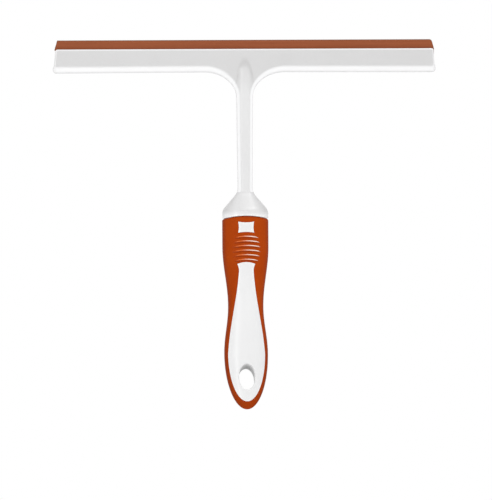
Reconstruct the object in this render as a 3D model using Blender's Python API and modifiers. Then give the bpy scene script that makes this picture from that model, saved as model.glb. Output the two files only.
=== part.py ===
"""A hand squeegee for windows.

A white moulded T carries a rubber blade in a channel along its top edge. Its stem stands on a bell
shaped collar, and its tang goes down between the two halves of the handle's core, inside a soft grip
with finger ribs, a window, a keyhole inlay and an oval hanging hole.

+X runs along the blade, +Z up towards it, and the front faces -Y. The origin is the middle of the
hand's hold, at the waist of the grip. Heights named below are measured up from the handle's tip.
"""

import math

import bmesh
import bpy
from mathutils import Matrix, Vector

MM = 0.001

# Gaps
FIT_GAP = 0.3 * MM  # between pieces that touch
BLADE_GAP = 0.3 * MM  # between the blade and its channel, on each side

# Head
HEAD_LENGTH = 254 * MM  # along the bar's lower edge
HEAD_SLANT = 1.3 * MM  # how much shorter each end is at the bar's top
BAR_HEIGHT = 15.3 * MM
BAR_END_DROP = 0.4 * MM  # the lower edge falls this much from the webs to its ends
BAR_DEPTH = 8 * MM
WEB_DEPTH = 5.5 * MM
WEB_FRONT = 2 * MM  # how far the web's front stands before the stem's centre plane
HEAD_LEAN = math.radians(16)  # the bar leans forward
LEAN_BELOW_TOP = 18.9 * MM  # where the lean starts, below the bar's top
LEAN_SOFTNESS = 18 * MM  # height over which the sheet turns into its lean
EDGE_ROUND = 1.2 * MM
FILLET_WIDTH = 21 * MM
FILLET_HEIGHT = 16.6 * MM

# Stem and tang
STEM_LENGTH = 78.7 * MM  # from the collar to the bar's lower edge
STEM_FOOT_WIDTH = 11 * MM
STEM_HEAD_WIDTH = 11.9 * MM
STEM_DEPTH = 10 * MM
STEM_BEVEL = 2.9 * MM
STEM_ROOT_INSIDE = 6.4 * MM  # how far below the bar's top the stem ends inside it
TANG_WIDTH = 7.4 * MM
TANG_DEPTH = 5 * MM
TANG_LENGTH = 45 * MM

# Blade
BLADE_THICKNESS = 2 * MM
BLADE_ROOT_RADIUS = 1.8 * MM
BLADE_ROOT_SEAT = 5.6 * MM  # from the channel's mouth down to the root's centre
LIP_PROUD = 6 * MM
LIP_SLANT = 1.2 * MM  # how much shorter each end is at the wiping edge
HINGE_RISE = 0.4 * MM  # the rubber bends this far above the channel's mouth
CHANNEL_STOP = 2.5 * MM  # wall that closes the channel's left end

# Grip, outside
GRIP_LENGTH = 126 * MM
GRIP_ARCH = 1.8 * MM  # the top edge is this much higher in its middle than at its sides
GRIP_CORNER = 1.6 * MM
HOLD_HEIGHT = 68 * MM  # the waist, where the hand closes
BULGE_HEIGHT = 36.6 * MM
FULL_BELOW_TOP = 18 * MM  # over this stretch below the top edge the sides run straight
BULGE_WIDTH = 29 * MM
WAIST_WIDTH = 23.4 * MM
TOP_WIDTH = 30.6 * MM
BULGE_DEPTH = 19 * MM
WAIST_DEPTH = 17.4 * MM
TOP_DEPTH = 22 * MM
SECTION_POWER = 2.4  # 2 is an ellipse, and more is squarer
CURVE_START = 60 * MM  # below this the handle curves forward
GRIP_TILT = math.radians(13)  # the handle's slope at the hanging hole
GRIP_WALL = 2.4 * MM

# Ribs on the grip's front
RIB_COUNT = 6
RIB_PITCH = 2.94 * MM
RIB_RADIUS = 0.9 * MM
RIB_BOW = 1 * MM  # the middle of a rib is this much higher than its ends
RIB_SHORT = 15 * MM
RIB_LONG = 19 * MM
RIBS_BELOW_TOP = 18.5 * MM  # from the grip's side top edge down to the middle of the ribs

# Window and inlay, which are the core showing through the grip
WINDOW_WIDTH = 11 * MM
WINDOW_HEIGHT = 7.5 * MM
WINDOW_PINCH = 0.5 * MM  # how far each side bows inwards
WINDOW_BELOW_TOP = 5 * MM  # from the grip's side top edge down to the window's middle
INLAY_BOTTOM = 5.2 * MM
INLAY_BULGE_WIDTH = 24.9 * MM
INLAY_NECK_WIDTH = 10 * MM
INLAY_BELOW_TOP = 29.8 * MM  # from the grip's side top edge down to the inlay's top corners
INLAY_HORN = 4.6 * MM  # height over which the top flares out from the neck
INLAY_TOP_WIDTH = 12.2 * MM
INLAY_ARCH = 1.2 * MM
INLAY_SINK = 0.2 * MM  # how far the core's raised faces lie below the grip's surface

# Hanging hole
HOLE_HEIGHT = 19.9 * MM  # height of its middle
HOLE_WIDTH = 10.6 * MM
HOLE_LENGTH = 16.8 * MM
SLEEVE_WALL = 1.5 * MM  # the core lines the hole as far as the grip's back
SLEEVE_START = 2 * MM  # from the handle's middle to where the sleeve starts in the core

# Collar
COLLAR_RIM = 3 * MM  # straight rim over the grip's side top edge
COLLAR_ROUND = 7 * MM
COLLAR_SLOPE = math.radians(37)  # the cone's side, from upright

RING_POINTS = 28
FAR = 40 * MM  # cutters run this far past what they cut

FULL_HEIGHT = GRIP_LENGTH - FULL_BELOW_TOP
INLAY_TOP = GRIP_LENGTH - INLAY_BELOW_TOP
INLAY_NECK_HEIGHT = INLAY_TOP - INLAY_HORN
COLLAR_CONE_START = COLLAR_RIM + COLLAR_ROUND * math.sin(COLLAR_SLOPE)
COLLAR_CONE_WIDTH = TOP_WIDTH / 2 - COLLAR_ROUND * (1 - math.cos(COLLAR_SLOPE))
COLLAR_HEIGHT = COLLAR_CONE_START + (
    (COLLAR_CONE_WIDTH - STEM_FOOT_WIDTH / 2) / math.tan(COLLAR_SLOPE)
)
STEM_FOOT = GRIP_LENGTH + COLLAR_HEIGHT
BAR_BOTTOM = STEM_FOOT + STEM_LENGTH
BAR_TOP = BAR_BOTTOM + BAR_HEIGHT

WHITE = ("white_plastic", (0.80, 0.80, 0.81, 1), 0.28)
ORANGE = ("orange_rubber", (0.40, 0.055, 0.006, 1), 0.45)
BLADE = ("blade_rubber", (0.34, 0.108, 0.046, 1), 0.5)


def clear_scene():
    for thing in list(bpy.data.objects):
        bpy.data.objects.remove(thing, do_unlink=True)


def new_collection(name):
    collection = bpy.data.collections.new(name)
    bpy.context.scene.collection.children.link(collection)
    return collection


def material(finish):
    name, colour, roughness = finish
    made = bpy.data.materials.get(name) or bpy.data.materials.new(name)
    made.use_nodes = True
    shader = made.node_tree.nodes["Principled BSDF"]
    shader.inputs["Base Color"].default_value = colour
    shader.inputs["Roughness"].default_value = roughness
    shader.inputs["Metallic"].default_value = 0
    return made


def node(name, mesh, finish):
    """A sub-part: a named object that shows."""
    mesh.materials.clear()
    mesh.materials.append(material(finish))
    mesh.shade_smooth()
    mesh.set_sharp_from_angle(angle=math.radians(35))
    made = bpy.data.objects.new(name, mesh)
    PARTS.objects.link(made)
    return made


def helper(name, mesh):
    """A body that only cuts or joins others."""
    made = bpy.data.objects.new(name, mesh)
    HELPERS.objects.link(made)
    made.hide_render = True
    made.display_type = "WIRE"
    return made


def combine(target, operation, *others):
    for other in others:
        step = target.modifiers.new(f"{operation.lower()} {other.name}", "BOOLEAN")
        step.operation = operation
        step.object = other


def taken_as_mesh(made):
    """The evaluated mesh of a helper, in world space. The helper is removed."""
    bpy.context.view_layer.update()
    graph = bpy.context.evaluated_depsgraph_get()
    mesh = bpy.data.meshes.new_from_object(made.evaluated_get(graph))
    mesh.transform(made.matrix_world)
    bpy.data.objects.remove(made)
    edit = bmesh.new()
    edit.from_mesh(mesh)
    bmesh.ops.remove_doubles(edit, verts=edit.verts, dist=1e-6)
    flat = math.radians(0.5)
    bmesh.ops.dissolve_limit(edit, angle_limit=flat, verts=edit.verts, edges=edit.edges)
    bmesh.ops.recalc_face_normals(edit, faces=edit.faces)
    edit.to_mesh(mesh)
    edit.free()
    return mesh


def plate(outline, near, far):
    """A flat outline of (x, height) points as a plate that fills y from near to far."""
    curve = bpy.data.curves.new("outline", "CURVE")
    curve.dimensions = "2D"
    curve.fill_mode = "BOTH"
    curve.extrude = (far - near) / 2
    spline = curve.splines.new("POLY")
    spline.points.add(len(outline) - 1)
    for point, (x, height) in zip(spline.points, outline):
        point.co = (x, height - HOLD_HEIGHT, 0, 1)
    spline.use_cyclic_u = True
    made = helper("outline", curve)
    made.rotation_euler = (math.pi / 2, 0, 0)
    made.location = (0, (near + far) / 2, 0)
    return taken_as_mesh(made)


def bar_along_x(section, start, end):
    """A closed outline of (y, z) points run along X from start to end."""
    curve = bpy.data.curves.new("section", "CURVE")
    curve.dimensions = "2D"
    curve.fill_mode = "BOTH"
    curve.extrude = (end - start) / 2
    spline = curve.splines.new("POLY")
    spline.points.add(len(section) - 1)
    for point, (y, z) in zip(spline.points, section):
        point.co = (y, z, 0, 1)
    spline.use_cyclic_u = True
    made = helper("section", curve)
    # The outline's own X, Y and depth become world Y, Z and X.
    turn = Matrix(((0, 0, 1), (1, 0, 0), (0, 1, 0))).to_4x4()
    made.matrix_world = Matrix.Translation(((start + end) / 2, 0, 0)) @ turn
    return taken_as_mesh(made)


def box(size, centre):
    edit = bmesh.new()
    place = Matrix.Translation(centre) @ Matrix.Diagonal((*size, 1))
    bmesh.ops.create_cube(edit, size=1, matrix=place)
    mesh = bpy.data.meshes.new("box")
    edit.to_mesh(mesh)
    edit.free()
    return mesh


def cap(edit, loop):
    """Closes a ring with strips across it, so that an arched ring gets an arched end."""
    count = len(loop)
    half = count // 2
    edit.faces.new((loop[0], loop[1], loop[-1]))
    for i in range(1, half - 1):
        edit.faces.new((loop[i], loop[i + 1], loop[count - i - 1], loop[count - i]))
    edit.faces.new((loop[half - 1], loop[half], loop[half + 1]))


def loft(rings):
    """A closed body through rings that have the same even number of points."""
    edit = bmesh.new()
    loops = [[edit.verts.new(point) for point in ring] for ring in rings]
    count = len(loops[0])
    for low, high in zip(loops, loops[1:]):
        for i in range(count):
            j = (i + 1) % count
            edit.faces.new((low[i], low[j], high[j], high[i]))
    cap(edit, loops[0])
    cap(edit, loops[-1])
    bmesh.ops.recalc_face_normals(edit, faces=edit.faces)
    mesh = bpy.data.meshes.new("loft")
    edit.to_mesh(mesh)
    edit.free()
    return mesh


def bent(mesh, heights, shift):
    """The mesh with cuts at these heights and each point moved along Y by shift(height)."""
    edit = bmesh.new()
    edit.from_mesh(mesh)
    for height in heights:
        everything = [*edit.verts, *edit.edges, *edit.faces]
        level = (0, 0, height - HOLD_HEIGHT)
        bmesh.ops.bisect_plane(
            edit, geom=everything, dist=0.01 * MM, plane_co=level, plane_no=(0, 0, 1)
        )
    # Wide faces would stop being flat, so they are cut into triangles first.
    bmesh.ops.triangulate(edit, faces=edit.faces)
    for vert in edit.verts:
        vert.co.y += shift(vert.co.z + HOLD_HEIGHT)
    edit.to_mesh(mesh)
    edit.free()
    return mesh


def steps(start, end, count):
    """count + 1 values spread evenly from start to end."""
    return [start + (end - start) * i / count for i in range(count + 1)]


def ease(share):
    return (1 - math.cos(math.pi * share)) / 2


def lean_shift(height):
    """How far forward the head's sheet lies at a height: upright, then a bend, then straight."""
    rise = height - (BAR_TOP - LEAN_BELOW_TOP)
    if rise < -LEAN_SOFTNESS / 2:
        run = 0
    elif rise < LEAN_SOFTNESS / 2:
        run = (rise + LEAN_SOFTNESS / 2) ** 2 / (2 * LEAN_SOFTNESS)
    else:
        run = rise
    return -run * math.tan(HEAD_LEAN)


def handle_centre(height):
    """Y of the handle's middle. Its lower end curves forward."""
    below = max(0, CURVE_START - height)
    return -below**2 * math.tan(GRIP_TILT) / (2 * (CURVE_START - HOLE_HEIGHT))


def handle_half(height, bulge, waist, top, inset):
    """Half the handle's width or depth at a height, from its three sizes, inside by inset."""
    if height < BULGE_HEIGHT:
        drop = (BULGE_HEIGHT - height) / (BULGE_HEIGHT - inset)
        return (bulge / 2 - inset) * math.sqrt(max(0, 1 - drop**2))
    if height < HOLD_HEIGHT:
        share = (height - BULGE_HEIGHT) / (HOLD_HEIGHT - BULGE_HEIGHT)
        return bulge / 2 + (waist - bulge) / 2 * ease(share) - inset
    share = min(1, (height - HOLD_HEIGHT) / (FULL_HEIGHT - HOLD_HEIGHT))
    return waist / 2 + (top - waist) / 2 * ease(share) - inset


def handle_halves(height, inset):
    across = handle_half(height, BULGE_WIDTH, WAIST_WIDTH, TOP_WIDTH, inset)
    deep = handle_half(height, BULGE_DEPTH, WAIST_DEPTH, TOP_DEPTH, inset)
    return across, deep


def rounded_ring(across, deep, centre, height, power=SECTION_POWER):
    """A ring of points round a squared oval."""
    ring = []
    for i in range(RING_POINTS):
        turn = 2 * math.pi * i / RING_POINTS
        x = across * math.copysign(abs(math.cos(turn)) ** (2 / power), math.cos(turn))
        y = deep * math.copysign(abs(math.sin(turn)) ** (2 / power), math.sin(turn))
        ring.append(Vector((x, centre + y, height - HOLD_HEIGHT)))
    return ring


def arched(ring, across, share):
    """The ring with its middle lifted, as the grip's top edge is."""
    for point in ring:
        point.z += share * GRIP_ARCH * (1 - (point.x / across) ** 2)
    return ring


def handle_heights(inset, top):
    """Heights of the handle's rings: close together at the round tip, then even."""
    tip = [
        BULGE_HEIGHT - (BULGE_HEIGHT - inset) * math.cos(math.radians(turn))
        for turn in (5, 14, 26, 40, 55, 72)
    ]
    body = steps(BULGE_HEIGHT, HOLD_HEIGHT, 5)
    upper = steps(HOLD_HEIGHT, FULL_HEIGHT, 5)
    return tip + body + upper[1:] + [top]


def handle_rings(inset, top):
    rings = []
    for height in handle_heights(inset, top):
        across, deep = handle_halves(height, inset)
        rings.append(rounded_ring(across, deep, handle_centre(height), height))
    return rings


def grip_outside():
    """The grip's full shape, with an arched top and a rounded top edge."""
    rings = handle_rings(0, GRIP_LENGTH - GRIP_CORNER)
    across, deep = handle_halves(GRIP_LENGTH, 0)
    arched(rings[-1], across, 1)
    for turn in (45, 90):
        out = GRIP_CORNER * (1 - math.cos(math.radians(turn)))
        up = GRIP_CORNER * math.sin(math.radians(turn))
        ring = rounded_ring(across - out, deep - out, 0, GRIP_LENGTH - GRIP_CORNER + up)
        rings.append(arched(ring, across, 1))
    return loft(rings)


def core_half(side):
    """Half of the core: side is -1 for the front and 1 for the back."""
    inset = GRIP_WALL + FIT_GAP
    rings = handle_rings(inset, GRIP_LENGTH - FIT_GAP)
    for ring, height in zip(rings, handle_heights(inset, GRIP_LENGTH - FIT_GAP)):
        flat = handle_centre(height) + side * FIT_GAP / 2
        for point in ring:
            point.y = side * max(side * point.y, side * flat)
    return loft(rings)


def inlay_outline(inset):
    """The keyhole: an oval end, sides that narrow to a neck, and a flared top with an arched edge."""
    right = []
    half = INLAY_BULGE_WIDTH / 2 - inset
    drop = BULGE_HEIGHT - INLAY_BOTTOM - inset
    for turn in steps(0, math.pi / 2, 9)[:-1]:
        right.append((half * math.sin(turn), BULGE_HEIGHT - drop * math.cos(turn)))
    neck = INLAY_NECK_WIDTH / 2 - inset
    for share in steps(0, 1, 7)[:-1]:
        narrowed = (share + ease(share)) / 2
        height = BULGE_HEIGHT + (INLAY_NECK_HEIGHT - BULGE_HEIGHT) * share
        right.append((half + (neck - half) * narrowed, height))
    flare = (INLAY_TOP_WIDTH - INLAY_NECK_WIDTH) / 2
    for share in steps(0, 1, 3):
        height = INLAY_NECK_HEIGHT + (INLAY_TOP - inset - INLAY_NECK_HEIGHT) * share
        right.append((neck + flare * share**2, height))
    across = neck + flare
    arch = []
    for x in steps(across, -across, 6)[1:-1]:
        arch.append((x, INLAY_TOP - inset + INLAY_ARCH * (1 - (x / across) ** 2)))
    left = [(-x, height) for x, height in reversed(right[1:])]
    return right + arch + left


def window_outline(inset):
    """A small rectangle whose sides bow inwards and whose top and bottom follow the ribs' arch."""
    half = WINDOW_WIDTH / 2 - inset
    tall = WINDOW_HEIGHT / 2 - inset
    middle = GRIP_LENGTH - WINDOW_BELOW_TOP
    points = []
    for share in steps(-1, 1, 4)[:-1]:
        points.append((half * share, middle - tall + WINDOW_PINCH * (1 - share**2)))
    for share in steps(-1, 1, 4)[:-1]:
        points.append((half - WINDOW_PINCH * (1 - share**2), middle + tall * share))
    for share in steps(1, -1, 4)[:-1]:
        points.append((half * share, middle + tall - WINDOW_PINCH * (1 - share**2)))
    for share in steps(1, -1, 4)[:-1]:
        points.append((-half + WINDOW_PINCH * (1 - share**2), middle + tall * share))
    return points


def front_cutter(name, outline, reach):
    """The outline run through the handle's front, down to reach before its middle."""
    low = min(height for _, height in outline)
    mesh = plate(outline, -FAR, -reach)
    rows = steps(low, CURVE_START, 6)[1:] if low < CURVE_START else []
    return helper(name, bent(mesh, rows, handle_centre))


def hole_cutter(name, clearance, start=-FAR / 2):
    """An oval drill along the handle's tilted axis of thickness, from start behind its middle."""
    edit = bmesh.new()
    length = FAR / 2 - start
    size = Matrix.Diagonal((HOLE_WIDTH / 2 + clearance, HOLE_LENGTH / 2 + clearance, 1, 1))
    place = Matrix.Translation((0, 0, -start - length / 2)) @ size
    bmesh.ops.create_cone(
        edit, cap_ends=True, segments=28, radius1=1, radius2=1, depth=length, matrix=place
    )
    mesh = bpy.data.meshes.new(name)
    edit.to_mesh(mesh)
    edit.free()
    made = helper(name, mesh)
    made.rotation_euler = (math.pi / 2 - GRIP_TILT, 0, 0)
    made.location = (0, handle_centre(HOLE_HEIGHT), HOLE_HEIGHT - HOLD_HEIGHT)
    return made


def front_surface(x, height):
    """Y of the grip's front at a place on it."""
    across, deep = handle_halves(height, 0)
    share = 1 - (abs(x) / across) ** SECTION_POWER
    return handle_centre(height) - deep * share ** (1 / SECTION_POWER)


def rib(number):
    """One bowed finger rib, half sunk in the grip's front. Ribs are longest in the middle rows."""
    row = number - (RIB_COUNT - 1) / 2
    height = GRIP_LENGTH - RIBS_BELOW_TOP + row * RIB_PITCH
    fall = abs(row) / (RIB_COUNT / 2)
    half = (RIB_LONG - (RIB_LONG - RIB_SHORT) * fall**2) / 2
    curve = bpy.data.curves.new("rib", "CURVE")
    curve.dimensions = "3D"
    curve.bevel_depth = RIB_RADIUS
    curve.bevel_resolution = 1
    curve.use_fill_caps = True
    spline = curve.splines.new("POLY")
    shares = steps(-1, 1, 8)
    spline.points.add(len(shares) - 1)
    for point, share in zip(spline.points, shares):
        x = half * share
        level = height + RIB_BOW * (1 / 2 - share**2)
        # The ends dive below the surface, so that a rib fades out.
        sunk = RIB_RADIUS * (0.4 + 0.8 * share**4)
        point.co = (x, front_surface(x, level) + sunk, level - HOLD_HEIGHT, 1)
    return helper(f"rib_{number + 1}", taken_as_mesh(helper("rib", curve)))


def make_grip():
    grip = node("grip", grip_outside(), ORANGE)
    combine(grip, "UNION", *[rib(number) for number in range(RIB_COUNT)])
    inside = helper("grip_inside", loft(handle_rings(GRIP_WALL, GRIP_LENGTH + FAR)))
    inlay = front_cutter("inlay_opening", inlay_outline(0), FIT_GAP)
    window = front_cutter("window_opening", window_outline(0), FIT_GAP)
    hole = hole_cutter("grip_hole", SLEEVE_WALL + FIT_GAP)
    combine(grip, "DIFFERENCE", inside, inlay, window, hole)


def tang_pocket(name, length):
    """Room for the tang, from the stem's foot down."""
    size = (TANG_WIDTH + 2 * FIT_GAP, TANG_DEPTH + 2 * FIT_GAP, length + FIT_GAP + FAR)
    low = STEM_FOOT - length - FIT_GAP - HOLD_HEIGHT
    return helper(name, box(size, (0, 0, low + size[2] / 2)))


def raised_face(name, outline):
    """A pad of the core that reaches the grip's surface inside an outline."""
    full = helper(name, loft(handle_rings(INLAY_SINK, GRIP_LENGTH - GRIP_CORNER)))
    combine(full, "INTERSECT", front_cutter(f"{name}_edge", outline, WAIST_DEPTH / 4))
    return full


def make_core():
    pocket = tang_pocket("tang_pocket", TANG_LENGTH)
    hole = hole_cutter("core_hole", 0)
    front = node("core_front", core_half(-1), WHITE)
    inlay = raised_face("inlay_face", inlay_outline(FIT_GAP))
    window = raised_face("window_face", window_outline(FIT_GAP))
    combine(front, "UNION", inlay, window)
    combine(front, "DIFFERENCE", pocket, hole)
    back = node("core_back", core_half(1), WHITE)
    sleeve = helper("sleeve", loft(handle_rings(INLAY_SINK, GRIP_LENGTH - GRIP_CORNER)))
    combine(sleeve, "INTERSECT", hole_cutter("sleeve_edge", SLEEVE_WALL, SLEEVE_START))
    combine(back, "UNION", sleeve)
    combine(back, "DIFFERENCE", pocket, hole)


def collar_ring(height):
    """A ring of the collar at a height above the grip's side top edge: rim, round, then cone."""
    full = TOP_WIDTH / 2
    foot = STEM_FOOT_WIDTH / 2
    over = height - COLLAR_RIM
    if over <= 0:
        across = full
    elif height < COLLAR_CONE_START:
        across = full - COLLAR_ROUND * (1 - math.sqrt(1 - (over / COLLAR_ROUND) ** 2))
    else:
        across = COLLAR_CONE_WIDTH - (height - COLLAR_CONE_START) * math.tan(COLLAR_SLOPE)
    narrowed = (full - across) / (full - foot)
    deep = TOP_DEPTH / 2 + (STEM_DEPTH - TOP_DEPTH) / 2 * narrowed
    power = SECTION_POWER + narrowed
    return rounded_ring(across, deep, 0, GRIP_LENGTH + height, power)


def make_collar():
    lowest = collar_ring(0)
    arched(lowest, TOP_WIDTH / 2, 1)
    for point in lowest:
        point.z += FIT_GAP
    heights = [COLLAR_RIM, *steps(COLLAR_RIM, COLLAR_CONE_START, 3)[1:]]
    heights += steps(COLLAR_CONE_START, COLLAR_HEIGHT - FIT_GAP, 3)[1:]
    collar = node("shoulder_collar", loft([lowest, *map(collar_ring, heights)]), WHITE)
    combine(collar, "DIFFERENCE", tang_pocket("collar_bore", COLLAR_HEIGHT + FAR))


def head_outline():
    """Front outline of the bar with its two webs, which sweep down to the stem."""
    low = HEAD_LENGTH / 2
    high = low - HEAD_SLANT
    inner = STEM_HEAD_WIDTH / 2 - STEM_BEVEL / 2
    outer = STEM_HEAD_WIDTH / 2 + FILLET_WIDTH
    base = BAR_BOTTOM - FILLET_HEIGHT
    right = [(inner, base - FILLET_HEIGHT / 4), (STEM_HEAD_WIDTH / 2, base)]
    for turn in steps(0, math.pi / 2, 10)[1:]:
        x = outer - FILLET_WIDTH * math.cos(turn)
        right.append((x, base + FILLET_HEIGHT * math.sin(turn)))
    right += [(low, BAR_BOTTOM - BAR_END_DROP), (high, BAR_TOP)]
    left = [(-x, height) for x, height in reversed(right)]
    return right + left


def lean_rows():
    middle = BAR_TOP - LEAN_BELOW_TOP
    return steps(middle - LEAN_SOFTNESS / 2, middle + LEAN_SOFTNESS / 2, 5)


def make_sheet():
    """The head's front sheet, with rounded edges, bent into its lean."""
    made = helper("sheet", plate(head_outline(), -WEB_FRONT, WEB_DEPTH - WEB_FRONT))
    rounding = made.modifiers.new("rounding", "BEVEL")
    rounding.width = EDGE_ROUND
    rounding.segments = 2
    rounding.limit_method = "ANGLE"
    rounding.angle_limit = math.radians(50)
    return bent(taken_as_mesh(made), lean_rows(), lean_shift)


def make_rear_rib():
    """The bar's thick back, which holds the channel's rear wall."""
    low = HEAD_LENGTH / 2 - EDGE_ROUND
    high = low - HEAD_SLANT
    bottom = BAR_BOTTOM + EDGE_ROUND
    outline = [(low, bottom), (high, BAR_TOP), (-high, BAR_TOP), (-low, bottom)]
    mesh = plate(outline, WEB_DEPTH / 2 - WEB_FRONT, BAR_DEPTH - WEB_FRONT)
    rows = [row for row in lean_rows() if row > bottom]
    return helper("rear_rib", bent(mesh, rows, lean_shift))


def stem_ring(width, front, back, height):
    """A rectangle with bevelled corners."""
    half = width / 2
    flat = half - STEM_BEVEL
    corners = [(flat, front), (half, front + STEM_BEVEL), (half, back - STEM_BEVEL), (flat, back)]
    points = corners + [(-x, y) for x, y in reversed(corners)]
    return [Vector((x, y, height - HOLD_HEIGHT)) for x, y in points]


def make_stem():
    """The stem, whose back slopes forward inside the bar while its front runs straight up."""
    front = -STEM_DEPTH / 2
    top = BAR_TOP - STEM_ROOT_INSIDE
    rear = BAR_DEPTH - WEB_FRONT + lean_shift(top) - EDGE_ROUND
    base = BAR_BOTTOM - FILLET_HEIGHT
    return helper("stem", loft([
        stem_ring(STEM_FOOT_WIDTH, front, -front, STEM_FOOT),
        stem_ring(STEM_HEAD_WIDTH, front, -front, base),
        stem_ring(STEM_HEAD_WIDTH, front, rear, top),
    ]))


def make_tang():
    size = (TANG_WIDTH, TANG_DEPTH, TANG_LENGTH + STEM_BEVEL)
    top = STEM_FOOT + STEM_BEVEL - HOLD_HEIGHT
    return helper("tang", box(size, (0, 0, top - size[2] / 2)))


def channel_mouth():
    """The middle of the channel's mouth, at the bar's top."""
    y = lean_shift(BAR_TOP) - WEB_FRONT + BAR_DEPTH / 2
    return Vector((0, y, BAR_TOP - HOLD_HEIGHT))


def keyhole_section(radius, half, top):
    """A round root with a straight neck up to top, as (y, z) points from the channel's mouth."""
    start = math.asin(half / radius)
    points = [(half, top)]
    for turn in steps(start, 2 * math.pi - start, 12):
        points.append((radius * math.sin(turn), radius * math.cos(turn) - BLADE_ROOT_SEAT))
    points.append((-half, top))
    return points


def channel_start():
    """X of the channel's closed left end."""
    return -(HEAD_LENGTH / 2 - HEAD_SLANT) + CHANNEL_STOP


def channel_cutter():
    radius = BLADE_ROOT_RADIUS + BLADE_GAP
    half = BLADE_THICKNESS / 2 + BLADE_GAP
    section = keyhole_section(radius, half, LIP_PROUD)
    return helper("channel", bar_along_x(section, channel_start(), HEAD_LENGTH / 2 + FAR))


def spine_top():
    """Where the blade's root ends, just under the round foot of the lip, from the mouth."""
    return HINGE_RISE - BLADE_THICKNESS / 2 - FIT_GAP


def mouth_cutter():
    """A shallow groove from end to end, over the stop too, for the foot of the lip."""
    half = BLADE_THICKNESS / 2 + BLADE_GAP
    low = spine_top()
    section = [(half, LIP_PROUD), (-half, LIP_PROUD), (-half, low), (half, low)]
    return helper("mouth", bar_along_x(section, -HEAD_LENGTH / 2 - FAR, HEAD_LENGTH / 2 + FAR))


def make_head(lean):
    head = node("head_frame", make_sheet(), WHITE)
    cutters = [channel_cutter(), mouth_cutter()]
    for cutter in cutters:
        cutter.parent = lean
    combine(head, "UNION", make_rear_rib(), make_stem(), make_tang())
    combine(head, "DIFFERENCE", *cutters)


def make_spine(lean):
    """The blade's root, with a neck up to the foot of the lip."""
    section = keyhole_section(BLADE_ROOT_RADIUS, BLADE_THICKNESS / 2, spine_top())
    end = HEAD_LENGTH / 2 - HEAD_SLANT
    mesh = bar_along_x(section, channel_start() + BLADE_GAP, end)
    node("blade_spine", mesh, BLADE).parent = lean


def make_lip(lean):
    """The free strip, whose round foot turns on the line where the rubber bends. Its ends slant."""
    half = BLADE_THICKNESS / 2
    height = LIP_PROUD - HINGE_RISE
    section = [(half, height), (-half, height)]
    for turn in steps(math.pi, 2 * math.pi, 8):
        section.append((half * math.cos(turn), half * math.sin(turn)))
    end = HEAD_LENGTH / 2 - HEAD_SLANT
    mesh = bar_along_x(section, -end, end)
    for vert in mesh.vertices:
        if vert.co.z > height / 2:
            vert.co.x -= math.copysign(LIP_SLANT, vert.co.x)
    lip = node("blade_lip", mesh, BLADE)
    lip.parent = lean
    lip.location = (0, 0, HINGE_RISE)


def leaning_frame():
    """An empty in the channel's mouth, leaning as the head does."""
    lean = bpy.data.objects.new("channel_mouth", None)
    PARTS.objects.link(lean)
    lean.location = channel_mouth()
    lean.rotation_euler = (HEAD_LEAN, 0, 0)
    return lean


clear_scene()
PARTS = new_collection("Window squeegee")
HELPERS = new_collection("Cutters")
lean_frame = leaning_frame()
make_head(lean_frame)
make_spine(lean_frame)
make_lip(lean_frame)
make_collar()
make_core()
make_grip()
bpy.context.view_layer.update()
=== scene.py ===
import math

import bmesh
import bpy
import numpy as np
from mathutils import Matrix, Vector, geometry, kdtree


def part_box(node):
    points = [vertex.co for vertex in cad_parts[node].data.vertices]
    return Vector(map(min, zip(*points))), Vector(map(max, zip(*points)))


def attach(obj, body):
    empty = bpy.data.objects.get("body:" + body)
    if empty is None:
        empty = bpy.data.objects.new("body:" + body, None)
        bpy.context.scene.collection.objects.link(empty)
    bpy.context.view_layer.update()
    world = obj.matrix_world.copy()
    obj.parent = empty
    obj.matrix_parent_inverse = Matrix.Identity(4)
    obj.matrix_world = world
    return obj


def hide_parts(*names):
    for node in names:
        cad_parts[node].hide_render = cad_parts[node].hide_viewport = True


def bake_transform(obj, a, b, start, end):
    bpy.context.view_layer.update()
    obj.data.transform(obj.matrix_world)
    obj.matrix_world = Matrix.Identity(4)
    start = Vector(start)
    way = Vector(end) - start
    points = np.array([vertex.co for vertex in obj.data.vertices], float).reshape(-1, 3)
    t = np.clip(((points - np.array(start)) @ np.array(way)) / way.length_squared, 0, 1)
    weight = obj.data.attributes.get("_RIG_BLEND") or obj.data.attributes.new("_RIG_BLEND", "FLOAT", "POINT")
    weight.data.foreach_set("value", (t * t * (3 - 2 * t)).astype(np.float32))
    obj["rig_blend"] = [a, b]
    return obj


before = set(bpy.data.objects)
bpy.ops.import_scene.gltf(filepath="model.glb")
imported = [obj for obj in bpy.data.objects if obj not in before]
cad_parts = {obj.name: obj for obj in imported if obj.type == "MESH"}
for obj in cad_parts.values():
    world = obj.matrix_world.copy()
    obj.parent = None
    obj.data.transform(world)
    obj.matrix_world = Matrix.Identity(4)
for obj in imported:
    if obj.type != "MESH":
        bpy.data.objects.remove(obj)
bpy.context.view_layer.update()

# %% [markdown]
# # A window squeegee
# A white moulded T holds a strip of brown rubber. Its stem stands on a bell shaped collar, and the
# soft orange grip below has finger ribs, a small window, a keyhole inlay and an oval hanging hole.
# Everything is built on the loaded frame: +X along the blade, +Z up to it, -Y out of the front.
# Lengths in the code are millimetres, and heights are measured up from the handle's tip.

MM = 0.001
GRIP_LENGTH = 126
GRIP_ARCH = 1.8  # the grip's top edge is this much higher in its middle
HOLD = GRIP_LENGTH + GRIP_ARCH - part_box("grip")[1].z / MM  # height of the frame's origin
BAR_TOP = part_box("head_frame")[1].z / MM + HOLD
BLADE_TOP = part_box("blade_lip")[1].z / MM + HOLD
HEAD_LENGTH = (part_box("head_frame")[1].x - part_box("head_frame")[0].x) / MM
print(f"origin {HOLD:.2f} mm above the tip, bar top {BAR_TOP:.2f}, blade top {BLADE_TOP:.2f}")


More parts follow.
